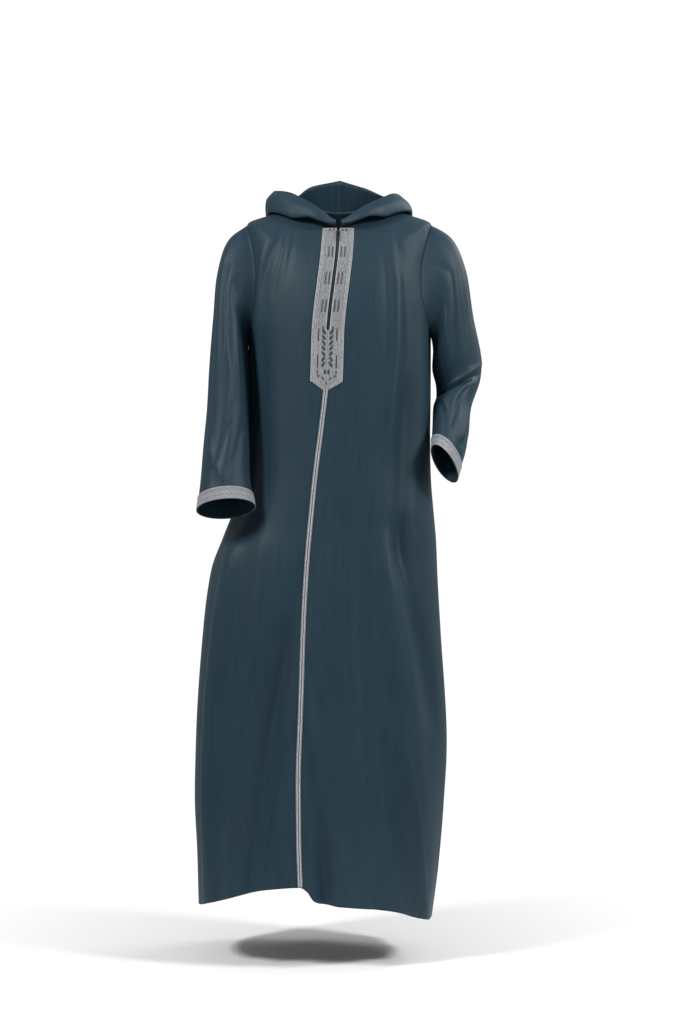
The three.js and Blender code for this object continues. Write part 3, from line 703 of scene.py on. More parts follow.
@dataclass
class RobePanels:
    """The two fronts and the back."""

    finish: Finish
    front_columns: int = 84
    back_columns: int = 132
    rows: int = 250
    bite_front: float = 0.54
    bite_back: float = 0.44
    gape: dict[Side, float] = field(default_factory=lambda: {Side.LEFT: 13.0, Side.RIGHT: 10.0})
    front_cuts: dict[Side, tuple[float, float, float]] = field(default_factory=lambda: {
        Side.LEFT: (0.37, 1.46, 0.46), Side.RIGHT: (0.31, 1.46, 0.38)})
    back_cut: tuple[float, float, float] = (0.78, 1.47, 0.86)

    def build(self) -> list[bpy.types.Object]:
        """Build every panel."""
        return [self.front(Side.LEFT), self.front(Side.RIGHT), self.back()]

    def front(self, side: Side) -> bpy.types.Object:
        """One front panel, from the centre front to the side seam."""
        def angle_row(level: float, fractions: np.ndarray) -> np.ndarray:
            """Angles of one row's columns."""
            edge = edge_angle(np.array([level]), self.bite_front, self.gape[side], -1)[0]
            start = ZIP_SLOT if level <= ZIP_END else SEAM_GAP
            first = angles_at(level, 0, side.value * edge, np.array([start]))[0]
            return angles_at(level, first, side.value * (edge + 0.002), -fractions - 1e-9)

        piece = self._panel(f"front_panel_{side.word}", self.front_columns, angle_row)
        width, length, area = self.front_cuts[side]
        declare(piece, f"front_{side.word}", self.finish)
        return piece

    def back(self) -> bpy.types.Object:
        """The back panel, from side seam to side seam."""
        def angle_row(level: float, fractions: np.ndarray) -> np.ndarray:
            """Angles of one row's columns."""
            edges = [edge_angle(np.array([level]), self.bite_back, self.gape[side], 1)[0]
                     for side in (Side.RIGHT, Side.LEFT)]
            right = angles_at(level, -math.pi, -(edges[0] - 0.001), -np.clip(1 - 2 * fractions, 1e-9, 1))
            left = angles_at(level, math.pi, edges[1] - 0.001, -np.clip(2 * fractions - 1, 1e-9, 1))
            return np.where(fractions < 0.5, right, left)

        piece = self._panel("back_panel", self.back_columns, angle_row)
        width, length, area = self.back_cut
        declare(piece, "back", self.finish)
        return piece

    def _panel(self, name: str, columns: int,
               angle_row: Callable[[float, np.ndarray], np.ndarray]) -> bpy.types.Object:
        """Map a grid onto the robe row by row.

        Args:
            name: Piece name.
            columns: Cells across.
            angle_row: Angles for a level and the fractions across it.

        Returns:
            The panel with its wall.
        """
        fractions = np.linspace(0, 1, columns + 1)
        levels = LEVEL_OF_ROW(np.linspace(0, 1, self.rows + 1))
        angles = np.stack([angle_row(float(level), fractions) for level in levels])
        points = np.stack([ROBE.point(row, np.full(row.shape, level)) for row, level in zip(angles, levels)])
        widths = np.linalg.norm(np.diff(points, axis=1), axis=2)
        reached = np.concatenate([np.zeros((len(levels), 1)), np.cumsum(widths, axis=1)], axis=1)
        reached -= reached[:, -1:] / 2 * (columns > self.front_columns)

        def pick(u: np.ndarray, v: np.ndarray) -> tuple[np.ndarray, np.ndarray]:
            """Row and column of each grid corner."""
            return np.rint(v * self.rows).astype(int), np.rint(u * columns).astype(int)

        def surface(u: np.ndarray, v: np.ndarray) -> np.ndarray:
            """Places on the robe."""
            return points[pick(u, v)]

        def flat(u: np.ndarray, v: np.ndarray) -> np.ndarray:
            """Cloth coordinates."""
            rows, cols = pick(u, v)
            return np.stack([reached[rows, cols] * MM, levels[rows] * MM], -1)

        piece = SheetMesh(name, columns, self.rows).build(surface, flat)
        outward(piece, lambda place: Vector((place.x, place.y, 0)))
        give_wall(piece, CLOTH)
        return piece


# ---- Sleeves ---------------------------------------------------------------------------------


@dataclass(frozen=True)
class SleeveRing:
    """Key ring of a sleeve: outer and inner points (x, z), middle y, half depth and lean."""

    outer: tuple[float, float]
    inner: tuple[float, float]
    y: float
    depth: float
    lean: float

    def point(self, turn: np.ndarray) -> np.ndarray:
        """Points at turns from the outer side (0) over the front."""
        lean = math.radians(self.lean)
        outer = np.array([self.outer[0], self.y, self.outer[1]])
        inner = np.array([self.inner[0], self.y, self.inner[1]])
        ahead = np.array([0, -math.cos(lean), math.sin(lean)]) * self.depth
        return ((outer + inner) / 2 + np.cos(turn)[:, None] * (outer - inner) / 2
                + np.sin(turn)[:, None] * ahead)


@dataclass(frozen=True)
class Crease:
    """Crease on a sleeve: places as (turn in degrees, place down the sleeve, rise), half width."""

    line: tuple[tuple[float, float, float], ...]
    width: float
    pinch: float = 1.6

    def rise(self, turn: np.ndarray, t: np.ndarray, reach: float, length: float) -> np.ndarray:
        """How far the crease pushes the cloth out.

        Args:
            turn: Turns round the sleeve in degrees.
            t: Places down the sleeve, 0 to 1.
            reach: Millimetres round the sleeve for each degree.
            length: The sleeve's length in millimetres.

        Returns:
            One rise for each place.
        """
        rows = np.array(self.line)
        spots = rows[:, :2] * (reach, length)
        best = np.full(turn.shape, 1e9)
        height = np.zeros(turn.shape)
        place = np.stack([turn * reach, t * length], -1)
        for a, b, low, high in zip(spots[:-1], spots[1:], rows[:-1, 2], rows[1:, 2]):
            leg = b - a
            share = np.clip(((place - a) @ leg) / (leg @ leg), 0, 1)
            away = np.linalg.norm(place - a - share[:, None] * leg, axis=1)
            near = away < best
            best = np.where(near, away, best)
            height = np.where(near, low + (high - low) * share, height)
        return height * np.exp(-((best / self.width) ** self.pinch))


RIGHT_CREASES = (
    Crease(((70, 0.04, 0), (60, 0.16, -4), (80, 0.34, -5), (100, 0.5, 0)), 9),
    Crease(((45, 0.05, 0), (48, 0.2, -3.5), (64, 0.42, -4), (84, 0.62, 0)), 8),
    Crease(((95, 0.1, 0), (105, 0.25, 4), (118, 0.45, 4), (130, 0.6, 0)), 12),
    Crease(((20, 0.14, 0), (24, 0.36, -3), (34, 0.62, -3), (40, 0.78, 0)), 9),
    Crease(((120, 0.55, 0), (92, 0.72, -4), (70, 0.88, -4), (62, 0.95, 0)), 9),
    Crease(((140, 0.62, 0), (118, 0.8, -4), (96, 0.92, -3), (90, 0.96, 0)), 9),
    Crease(((30, 0.66, 0), (50, 0.8, 3), (84, 0.9, 3), (100, 0.94, 0)), 12),
    Crease(((200, 0.3, 0), (230, 0.42, -4), (260, 0.5, 0)), 10),
    Crease(((300, 0.1, 0), (286, 0.35, -4), (270, 0.6, -3), (262, 0.8, 0)), 10),
    Crease(((210, 0.6, 0), (240, 0.7, -4), (275, 0.74, 0)), 9),
)
LEFT_CREASES = (
    Crease(((70, 0.04, 0), (66, 0.18, -4), (82, 0.36, -5), (96, 0.46, 0)), 9),
    Crease(((40, 0.06, 0), (46, 0.22, -4), (60, 0.4, -4), (70, 0.5, 0)), 8),
    Crease(((98, 0.1, 0), (104, 0.26, 4), (112, 0.42, 5), (118, 0.5, 0)), 11),
    Crease(((14, 0.16, 0), (18, 0.34, -3), (30, 0.46, 0)), 9),
    Crease(((-10, 0.57, 0), (30, 0.6, -10), (80, 0.61, -11), (140, 0.6, -7), (165, 0.58, 0)), 9, 1.4),
    Crease(((0, 0.55, 0), (40, 0.565, 4), (90, 0.575, 4), (130, 0.57, 0)), 8),
    Crease(((52, 0.62, 0), (70, 0.72, -5), (88, 0.84, -4), (94, 0.9, 0)), 8),
    Crease(((20, 0.64, 0), (34, 0.76, 4), (44, 0.88, 4), (50, 0.93, 0)), 13),
    Crease(((8, 0.72, 0), (14, 0.84, -5), (34, 0.9, -5), (60, 0.93, 0)), 7),
    Crease(((-14, 0.8, 0), (0, 0.88, -5), (20, 0.93, 0)), 7),
    Crease(((150, 0.66, 0), (120, 0.78, -5), (96, 0.86, 0)), 9),
    Crease(((200, 0.45, 0), (240, 0.52, -5), (280, 0.55, 0)), 9),
    Crease(((300, 0.2, 0), (280, 0.4, -4), (262, 0.52, 0)), 10),
)


@dataclass
class Sleeves:
    """Both sleeves.

    Attributes:
        seam_lead: How far inside the armhole each sleeve's curve comes from, in radians.
        degree: Millimetres round the sleeve for one degree.
        reach: Length of a sleeve that its creases are laid out on.
        ripple: Height of the small ripples.
    """

    finish: Finish
    columns: int = 96
    rows: int = 150
    seam_lead: float = 0.3
    degree: float = 1.15
    reach: float = 590.0
    ripple: float = 1.6
    cuts: dict[Side, tuple[float, float, float]] = field(default_factory=lambda: {
        Side.RIGHT: (0.44, 0.58, 0.174), Side.LEFT: (0.44, 0.52, 0.15)})
    rings: dict[Side, tuple[SleeveRing, ...]] = field(default_factory=lambda: {
        Side.RIGHT: (
            SleeveRing((-227, -52), (-187.6, -272), -8, 67, 0),
            SleeveRing((-249, -122), (-186.9, -306), -28, 66, 2),
            SleeveRing((-258, -222), (-185.5, -352), -46, 64, 5),
            SleeveRing((-265, -330), (-184, -406), -62, 61, 9),
            SleeveRing((-271, -438), (-182, -474), -80, 60, 15),
            SleeveRing((-278, -528), (-179, -543), -100, 58, 19),
            SleeveRing((-285, -607), (-170, -598), -121, 55, 21),
        ),
        Side.LEFT: (
            SleeveRing((229, -50), (189.6, -276), -4, 66, 0),
            SleeveRing((257, -113), (188.2, -318), -8, 65, 0),
            SleeveRing((272, -206), (196, -350), -4, 63, 2),
            SleeveRing((292, -318), (197, -374), 4, 60, 8),
            SleeveRing((268, -396), (190, -396), -22, 57, 20),
            SleeveRing((260, -466), (187, -440), -56, 53, 26),
            SleeveRing((236, -540), (184, -484), -90, 50, 29),
        ),
    })
    creases: dict[Side, tuple[Crease, ...]] = field(default_factory=lambda: {
        Side.RIGHT: RIGHT_CREASES, Side.LEFT: LEFT_CREASES})

    def smooth_point(self, side: Side, turn: np.ndarray, t: np.ndarray) -> np.ndarray:
        """Point of a sleeve before its creases."""
        round_part = (1 - np.cos(turn)) / 2
        level = SHOULDER + (UNDERARM - SHOULDER) * round_part
        front = np.sin(turn) >= 0
        bite = np.where(front, RobePanels.bite_front, RobePanels.bite_back)
        angle = math.pi / 2 + np.where(front, -1, 1) * bite * np.abs(np.sin(turn))
        armhole = ROBE.point(side.value * angle, level)
        keys = [armhole, *(ring.point(turn) for ring in self.rings[side])]
        inside = angle - np.where(front, 1, -1) * self.seam_lead
        share = np.abs(np.sin(turn))[:, None] ** 0.6
        before = (1 - share) * (2 * armhole - keys[1]) + share * ROBE.point(side.value * inside, level)
        return catmull_rom(keys, t, before)

    def point(self, side: Side, turn: np.ndarray, t: np.ndarray) -> np.ndarray:
        """Point of a sleeve's outer face."""
        safe = np.clip(t, 0.02, 0.98)
        smooth = self.smooth_point(side, turn, t)

        def base(a: np.ndarray, b: np.ndarray) -> np.ndarray:
            """The smooth sleeve."""
            return self.smooth_point(side, a, b)

        normal = surface_normals(base, turn, safe, 0.03, 0.01) * -side.value
        degrees = np.degrees(turn)
        rise = np.zeros(turn.shape)
        for crease in self.creases[side]:
            for wrap in (-360, 0, 360):
                rise += crease.rise(degrees + wrap, t, self.degree, self.reach)
        ripples = [noise.noise(Vector((x * 0.02, y * 0.02, z * 0.008))) for x, y, z in smooth]
        rise += self.ripple * np.array(ripples)
        rise *= smoothstep(t, 0.0, 0.05) * (1 - smoothstep(t, 0.93, 0.955))
        return smooth + normal * rise[:, None]

    def build(self) -> list[bpy.types.Object]:
        """Build both sleeves."""
        return [self.sleeve(side) for side in Side]

    def sleeve(self, side: Side) -> bpy.types.Object:
        """One sleeve, closed round its underarm seam."""
        def surface(u: np.ndarray, v: np.ndarray) -> np.ndarray:
            """Places on the sleeve, with the seam under the arm."""
            return self.point(side, math.pi + 2 * math.pi * u, v)

        def flat(u: np.ndarray, v: np.ndarray) -> np.ndarray:
            """Cloth coordinates."""
            return np.stack([u * self.cuts[side][0], v * self.cuts[side][1]], -1)

        sheet = SheetMesh(f"sleeve_shell_{side.word}", self.columns, self.rows, closed=True)
        piece = sheet.build(surface, flat)
        turn = np.linspace(0, 2 * math.pi, 24, endpoint=False)
        axis = [self.smooth_point(side, turn, np.full(turn.shape, t)).mean(axis=0) * MM
                for t in np.linspace(0, 1, 12)]

        def away(place: Vector) -> Vector:
            """Direction out from the sleeve's middle line."""
            nearest = min(axis, key=lambda spot: (Vector(spot) - place).length)
            return place - Vector(nearest)

        outward(piece, away)
        give_wall(piece, CLOTH)
        width, length, area = self.cuts[side]
        declare(piece, f"sleeve_{side.word}", self.finish)
        return piece


# ---- Hood ------------------------------------------------------------------------------------


@dataclass(frozen=True)
class HoodSection:
    """Section of the worn-down hood: steps from the neck seam to the free rim."""

    place: float
    angle: float
    steps: tuple[tuple[float, float, float], ...]


HOOD_FRONT = HoodSection(0, 4, ((0, -6, 3), (1, -9, 6), (1, -9, 9), (0, -6, 13)))
HOOD_POINT = HoodSection(1, 180, ((0, 46, -76), (0, 76, -300), (0, 112, -120), (0, 72, 78)))


@dataclass
class Hood:
    """Both halves of the hood."""

    finish: Finish
    columns: int = 90
    rows: int = 80
    lift: float = -1.2
    cut: tuple[float, float, float] = (0.34, 0.6, 0.102)
    sections: dict[Side, tuple[HoodSection, ...]] = field(default_factory=lambda: {
        Side.RIGHT: (
            HOOD_FRONT,
            HoodSection(0.2, 34, ((8, -13, 2), (14, -24, 0), (13, -22, 14), (8, -12, 26))),
            HoodSection(0.36, 62, ((18, -14, -3), (38, -25, -22), (42, -18, 6), (28, -6, 26))),
            HoodSection(0.54, 92, ((34, -8, -7), (72, -6, -20), (77, 8, 6), (63, 22, 26))),
            HoodSection(0.76, 134, ((52, 30, -19), (82, 54, -72), (82, 74, -22), (46, 56, 30))),
            HoodSection(0.9, 160, ((32, 44, -62), (46, 68, -205), (62, 96, -78), (36, 68, 62))),
            HOOD_POINT,
        ),
        Side.LEFT: (
            HOOD_FRONT,
            HoodSection(0.2, 34, ((8, -13, 2), (15, -25, 2), (14, -22, 14), (9, -12, 24))),
            HoodSection(0.36, 62, ((18, -14, -3), (36, -26, -20), (44, -18, 4), (34, -4, 24))),
            HoodSection(0.54, 92, ((34, -8, -7), (70, -8, -18), (70, 8, -4), (52, 18, 14))),
            HoodSection(0.76, 134, ((52, 28, -20), (80, 54, -74), (80, 74, -24), (44, 56, 32))),
            HoodSection(0.9, 160, ((32, 44, -62), (46, 68, -205), (62, 96, -78), (36, 68, 56))),
            HOOD_POINT,
        ),
    })

    def point(self, side: Side, s: np.ndarray, t: np.ndarray) -> np.ndarray:
        """Point of a hood half: s from the front opening to the centre back, t from seam to rim."""
        table = self.sections[side]
        angle = np.radians(Curve(tuple((row.place, row.angle) for row in table))(s))
        seam = ROBE.point(side.value * angle, np.zeros_like(s))
        seam[:, 2] += self.lift
        keys = [seam]
        for step in range(4):
            parts = [Curve(tuple((row.place, row.steps[step][axis]) for row in table))(s)
                     for axis in range(3)]
            keys.append(seam + np.stack([side.value * parts[0], parts[1], parts[2]], -1))
        return catmull_rom(keys, t)

    def build(self) -> list[bpy.types.Object]:
        """Build both halves."""
        return [self.half(side) for side in Side]

    def half(self, side: Side) -> bpy.types.Object:
        """One half of the hood."""
        def surface(u: np.ndarray, v: np.ndarray) -> np.ndarray:
            """Places on the hood."""
            places = self.point(side, u, v)
            places[:, 0] = np.where(u > 0.9999, side.value * -0.2, places[:, 0])
            return places

        def flat(u: np.ndarray, v: np.ndarray) -> np.ndarray:
            """Cloth coordinates."""
            return np.stack([u * self.cut[0], v * self.cut[1]], -1)

        piece = SheetMesh(f"hood_shell_{side.word}", self.columns, self.rows).build(surface, flat)
        middle = Vector((0, 0.08, 0.02))
        outward(piece, lambda place: place - middle)
        give_wall(piece, CLOTH, 1.0)
        width, length, area = self.cut
        declare(piece, f"hood_{side.word}", self.finish)
        return piece


# ---- Embroidery ------------------------------------------------------------------------------


class Chart:
    """Flat embroidery coordinates laid on a surface.

    The first coordinate runs across (or round), the second along, both in millimetres.
    """

    def __init__(self, across: np.ndarray, along: np.ndarray, points: np.ndarray) -> None:
        """Take a regular grid of points.

        Args:
            across: Even places across.
            along: Even places along.
            points: Surface points, of shape (along, across, 3).
        """
        self.across = across
        self.along = along
        self.points = points
        step_a, step_b = across[1] - across[0], along[1] - along[0]
        self.by_across = normalized(np.gradient(points, step_a, axis=1))
        self.by_along = normalized(np.gradient(points, step_b, axis=0))
        self.normals = normalized(np.cross(self.by_along, self.by_across))

    def face_away_from(self, middle: np.ndarray) -> "Chart":
        """Turn the normals so that they point away from a place."""
        if ((self.points - middle) * self.normals).sum() < 0:
            self.normals = -self.normals
        return self

    def _sample(self, grid: np.ndarray, a: np.ndarray, b: np.ndarray) -> np.ndarray:
        """Read a grid between its points."""
        column, row = (
            np.clip((places - ticks[0]) / (ticks[1] - ticks[0]), 0, len(ticks) - 1.001)
            for places, ticks in ((a, self.across), (b, self.along)))
        left, top = column.astype(int), row.astype(int)
        x, y = (column - left)[:, None], (row - top)[:, None]
        upper = grid[top, left] * (1 - x) + grid[top, left + 1] * x
        lower = grid[top + 1, left] * (1 - x) + grid[top + 1, left + 1] * x
        return upper * (1 - y) + lower * y

    def place(self, a: np.ndarray, b: np.ndarray, lift: np.ndarray | float) -> np.ndarray:
        """Points at chart places, moved out by a lift."""
        lifts = np.broadcast_to(np.asarray(lift, float), a.shape)[:, None]
        return self._sample(self.points, a, b) + lifts * normalized(self._sample(self.normals, a, b))

    def axes(self, a: np.ndarray, b: np.ndarray) -> tuple[np.ndarray, np.ndarray, np.ndarray]:
        """Directions across, along and out at chart places."""
        return tuple(normalized(self._sample(grid, a, b))
                     for grid in (self.by_across, self.by_along, self.normals))


def centre_chart(top: float, bottom: float, half: float) -> Chart:
    """Chart of the robe's centre front, by depth below the origin.

    Args:
        top: First depth.
        bottom: Last depth.
        half: Half width.

    Returns:
        The chart.
    """
    tries = np.linspace(0, HEM, 1401)
    depths = -ROBE.height(np.zeros(tries.shape), tries)
    along = np.linspace(top, bottom, int((bottom - top) / 4) + 1)
    levels = np.interp(along, depths, tries)
    across = np.linspace(-half, half, int(half) | 1)
    rows = []
    for level in levels:
        reach = [angles_at(level, 0, side.value * 1.2, np.abs(across)) for side in Side]
        angle = np.where(across >= 0, reach[0], reach[1])
        rows.append(ROBE.point(angle, np.full(angle.shape, level)))
    return Chart(across, along, np.stack(rows)).face_away_from(np.zeros(3))


def cuff_chart(sleeves: Sleeves, side: Side, around: float) -> Chart:
    """Chart of a cuff: once round the sleeve, and up from its edge."""
    across = np.linspace(0, around, 121)
    turn = across / around * 2 * math.pi
    ends = [sleeves.smooth_point(side, turn, np.full(turn.shape, t)) for t in (0.98, 1.0)]
    speed = np.linalg.norm(ends[1] - ends[0], axis=1) / 0.02
    along = np.linspace(0, 30, 16)
    rows = [sleeves.point(side, turn, 1 - up / speed) for up in along]
    chart = Chart(across, along, np.stack(rows))
    return chart.face_away_from(chart.points.mean(axis=(0, 1)))


@dataclass(frozen=True)
class Mark:
    """Dark stroke of a motif from one chart place to another."""

    start: tuple[float, float]
    end: tuple[float, float]
    width: float

    def away(self, a: np.ndarray, b: np.ndarray) -> np.ndarray:
        """Distance of chart places from the stroke's edge."""
        start, leg = np.array(self.start), np.array(self.end) - np.array(self.start)
        place = np.stack([a, b], -1) - start
        share = np.clip((place @ leg) / (leg @ leg), 0, 1)
        return np.linalg.norm(place - share[:, None] * leg, axis=1) - self.width / 2


@dataclass
class Threads:
    """Satin stitches gathered for one mesh."""

    chart: Chart
    rows: list[np.ndarray] = field(default_factory=list)

    def add(self, a: Any, b: Any, heading: Any, length: Any, width: Any, lift: float,
            height: float = 0.9) -> None:
        """Add stitches.

        Args:
            a: Places across.
            b: Places along.
            heading: Directions in degrees, 0 across and 90 along.
            length: Stitch lengths in millimetres.
            width: Stitch widths.
            lift: Height of their middles over the surface.
            height: Thickness.
        """
        parts = np.broadcast_arrays(*(np.asarray(part, float) for part in (a, b, heading, length, width)))
        table = np.stack([*parts, np.full(parts[0].shape, lift), np.full(parts[0].shape, height)], -1)
        self.rows.append(table.reshape(-1, 7))

    def column(self, a: float, ends: tuple[float, float], pitch: float, heading: float,
               length: float, width: float, lift: float) -> None:
        """Add a column of stitches along the chart at one place across."""
        b = np.arange(ends[0], ends[1], pitch)
        self.add(np.full(b.shape, a), b, heading, length, width, lift)

    def stroke(self, mark: Mark, piece: float = 4.4) -> None:
        """Fill a mark with stitches laid end to end."""
        start, end = np.array(mark.start), np.array(mark.end)
        leg = end - start
        reach = float(np.linalg.norm(leg))
        count = max(1, round(reach / piece))
        share = (np.arange(count) + 0.5) / count
        places = start + share[:, None] * leg
        heading = math.degrees(math.atan2(leg[1], leg[0]))
        self.add(places[:, 0], places[:, 1], heading, reach / count * 1.25, mark.width, 1.5)

    def keep_off(self, marks: Sequence[Mark], margin: float) -> None:
        """Drop the stitches that would cover marks."""
        table = np.concatenate(self.rows)
        clear = np.ones(len(table), bool)
        for mark in marks:
            clear &= mark.away(table[:, 0], table[:, 1]) > margin
        self.rows = [table[clear]]

    def mesh(self, name: str) -> bpy.types.Object:
        """Make every stitch in one mesh."""
        table = np.concatenate(self.rows)
        ball = bmesh.new()
        bmesh.ops.create_icosphere(ball, subdivisions=1, radius=0.5)
        shape = np.array([vert.co for vert in ball.verts])
        block = bpy.data.meshes.new("stitch")
        ball.to_mesh(block)
        ball.free()
        work, left = bmesh.new(), len(table)
        while left:
            if left & 1:
                work.from_mesh(block)
            left >>= 1
            double = bmesh.new()
            double.from_mesh(block)
            double.from_mesh(block)
            double.to_mesh(block)
            double.free()
        bpy.data.meshes.remove(block)
        a, b, heading, length, width, lift, height = table.T
        across, along, out = self.chart.axes(a, b)
        turn = np.radians(heading)[:, None]
        ahead = normalized(np.cos(turn) * across + np.sin(turn) * along)
        aside = normalized(np.cross(out, ahead))
        middle = self.chart.place(a, b, lift)
        places = (middle[:, None] + (shape[:, 0] * length[:, None])[..., None] * ahead[:, None]
                  + (shape[:, 1] * width[:, None])[..., None] * aside[:, None]
                  + (shape[:, 2] * height[:, None])[..., None] * out[:, None]).reshape(-1, 3) * MM
        for vert, place in zip(work.verts, places):
            vert.co = place
        return finish_mesh(name, work)


@dataclass
class Trim:
    """Base of the embroidered trims: a ground strip, silver threads and dark marks."""

    ground: Finish
    silver: Finish
    dark: Finish
    wall: float = 0.9
    lift: float = 1.0

    def strip(self, name: str, chart: Chart, columns: int, rows: int,
              outline: Callable[[np.ndarray, np.ndarray], np.ndarray]) -> bpy.types.Object:
        """Ground strip over a chart.

        Args:
            name: Piece name.
            chart: Where it lies.
            columns: Cells across.
            rows: Cells along.
            outline: Chart places for fractions across and along.

        Returns:
            The strip with its wall.
        """
        def surface(u: np.ndarray, v: np.ndarray) -> np.ndarray:
            """Places on the strip."""
            places = outline(u, v)
            return chart.place(places[:, 0], places[:, 1], self.lift)

        piece = SheetMesh(name, columns, rows).build(surface, lambda u, v: outline(u, v) * MM)
        normals = chart.axes(*outline(np.array([0.5]), np.array([0.5])).T)[2][0]
        if piece.data.polygons[len(piece.data.polygons) // 2].normal.dot(Vector(normals)) < 0:
            piece.data.flip_normals()
        give_wall(piece, self.wall)
        return piece


@dataclass
class Placket(Trim):
    """Front placket: two strips beside the zip that join below it in a point."""

    top: float = 38.4
    slot: float = ZIP_SLOT
    half: float = 32.5
    zip_end: float = 248.0
    corner: float = 348.0
    tip: float = 368.0

    def edge(self, b: np.ndarray) -> np.ndarray:
        """Half width of the placket at depths."""
        return self.half - (self.half - 4.5) * np.clip((b - self.corner) / (self.tip - self.corner), 0, 1)

    def crown(self, a: Any) -> Any:
        """Depth of the placket's top edge at places across."""
        return self.top + 6.6 * (np.abs(a) / self.half) ** 2

    def marks(self) -> list[Mark]:
        """Dark marks of the motif."""
        marks = []
        for sign in (-1, 1):
            for a in (8.5, 16.5):
                crown = self.crown(a)
                marks.append(Mark((sign * a, crown + 2), (sign * a, crown + 6), 2.8))
                for low, high in ((79, 100), (132, 156), (188, 212)):
                    marks.append(Mark((sign * a, low), (sign * a, high), 2.3))
            for row in range(7):
                b = 252.5 + row * 10.7
                ends = (b - 4, b + 2.6) if row < 5 else (b + 3, b - 4)
                marks.append(Mark((sign * 9.6, ends[0]), (sign * 5.2, ends[1]), 4.6))
            marks.append(Mark((sign * 9.6, 242), (sign * 9.6, 249), 2.4))
            marks.append(Mark((sign * 17.5, 246), (sign * 18.0, 268), 2.3))
            marks.append(Mark((sign * 18.5, 298), (sign * 18.5, 322), 2.3))
            marks.append(Mark((sign * 4.2, 328), (sign * 4.2, 334), 4.2))
            marks.append(Mark((sign * 18.2, 329), (sign * 18.2, 332), 3.8))
            marks.append(Mark((sign * 16.4, 338), (sign * 15.2, 340), 3.8))
            marks.append(Mark((sign * 8.6, 342), (sign * 6.0, 347), 2.2))
        marks.append(Mark((0, 352), (0, 355), 3.4))
        return marks

    def build(self, chart: Chart) -> list[bpy.types.Object]:
        """Build the placket on the centre chart."""
        grounds = [self.half_ground(chart, side) for side in Side]
        marks = self.marks()
        threads = self.silver_threads(chart, marks).mesh("placket_threads")
        motif = Threads(chart)
        for mark in marks:
            motif.stroke(mark)
        motif_piece = motif.mesh("placket_motif")
        for ground in grounds:
            declare(ground, "placket", self.ground)
        declare(threads, "placket", self.silver)
        declare(motif_piece, "placket", self.dark)
        return [*grounds, threads, motif_piece]

    def half_ground(self, chart: Chart, side: Side) -> bpy.types.Object:
        """Ground of one strip."""
        def outline(u: np.ndarray, v: np.ndarray) -> np.ndarray:
            """Chart places of the strip."""
            b = self.top + v * (self.tip - self.top)
            inner = np.where(b < self.zip_end, self.slot, 0.0)
            a = inner + u * (self.edge(b) - inner)
            return np.stack([side.value * a, b + (self.crown(a) - self.top) * (1 - v) ** 8], -1)

        return self.strip(f"placket_ground_{side.word}", chart, 14, 160, outline)

    def silver_threads(self, chart: Chart, marks: Sequence[Mark]) -> Threads:
        """Cords along the edges and satin columns between the marks."""
        threads = Threads(chart)
        for sign in (-1, 1):
            for a, slant in ((31.3, 50), (28.9, -50), (26.3, 50)):
                threads.column(sign * a, (self.top, self.corner), 1.45, sign * slant, 3.0, 1.5, 1.6)
            threads.column(sign * 4.6, (self.top, self.zip_end), 1.45, sign * 50, 3.0, 1.5, 1.6)
            for a, length in ((6.6, 2.2), (10.2, 3.0), (12.6, 3.0), (14.8, 2.2), (18.3, 2.4),
                              (21.2, 4.2), (8.5, 3.0), (16.5, 3.0), (23.6, 2.2)):
                threads.column(sign * a, (self.top + 1, self.zip_end), 1.6, 0, length, 1.25, 1.5)
            for a in (1.6, 4.4, 7.2, 10.0, 12.8, 15.6, 18.4, 21.2, 23.8):
                threads.column(sign * a, (self.zip_end, self.corner + 2), 1.6, sign * -35, 3.3, 1.3, 1.5)
            for inset in (1.5, 4.6):
                b = np.arange(self.corner - inset * 0.4, self.tip - inset, 0.9)
                threads.add(sign * (self.edge(b + inset * 0.5) - inset), b, sign * -20, 3.0, 1.4, 1.6)
        b, a = np.mgrid[self.corner + 1:self.tip - 3:1.7, -26:26:2.6]
        inside = np.abs(a) < self.edge(b) - 5
        threads.add(a[inside], b[inside], 0, 2.9, 1.3, 1.5)
        threads.keep_off(marks, 0.55)
        table = threads.rows[0]
        threads.rows = [table[table[:, 1] > self.crown(table[:, 0]) + 0.5]]
        top = np.arange(-self.half + 1, self.half, 1.45)
        top = top[np.abs(top) > self.slot + 0.6]
        threads.add(top, self.crown(top) + 0.8, 60, 2.8, 1.4, 1.7)
        return threads


@dataclass
class CentreBraid(Trim):
    """Narrow braid of two cords from the placket's point to the hem."""

    top: float = 367.0
    half: float = 4.6

    def build(self, bottom: float) -> list[bpy.types.Object]:
        """Build the braid down to a depth."""
        chart = centre_chart(self.top - 4, bottom + 4, 8)

        def outline(u: np.ndarray, v: np.ndarray) -> np.ndarray:
            """Chart places of the braid."""
            return np.stack([(2 * u - 1) * self.half, self.top + v * (bottom - self.top)], -1)

        ground = self.strip("braid_ground", chart, 4, 300, outline)
        threads = Threads(chart)
        for sign in (-1, 1):
            threads.column(sign * 2.3, (self.top, bottom), 1.7, sign * 55, 4.6, 1.7, 1.7)
            threads.column(sign * 4.4, (self.top, bottom), 3.0, 90, 2.9, 1.0, 1.4)
        piece = threads.mesh("braid_threads")
        declare(ground, "centre_braid", self.ground)
        declare(piece, "centre_braid", self.silver)
        return [ground, piece]


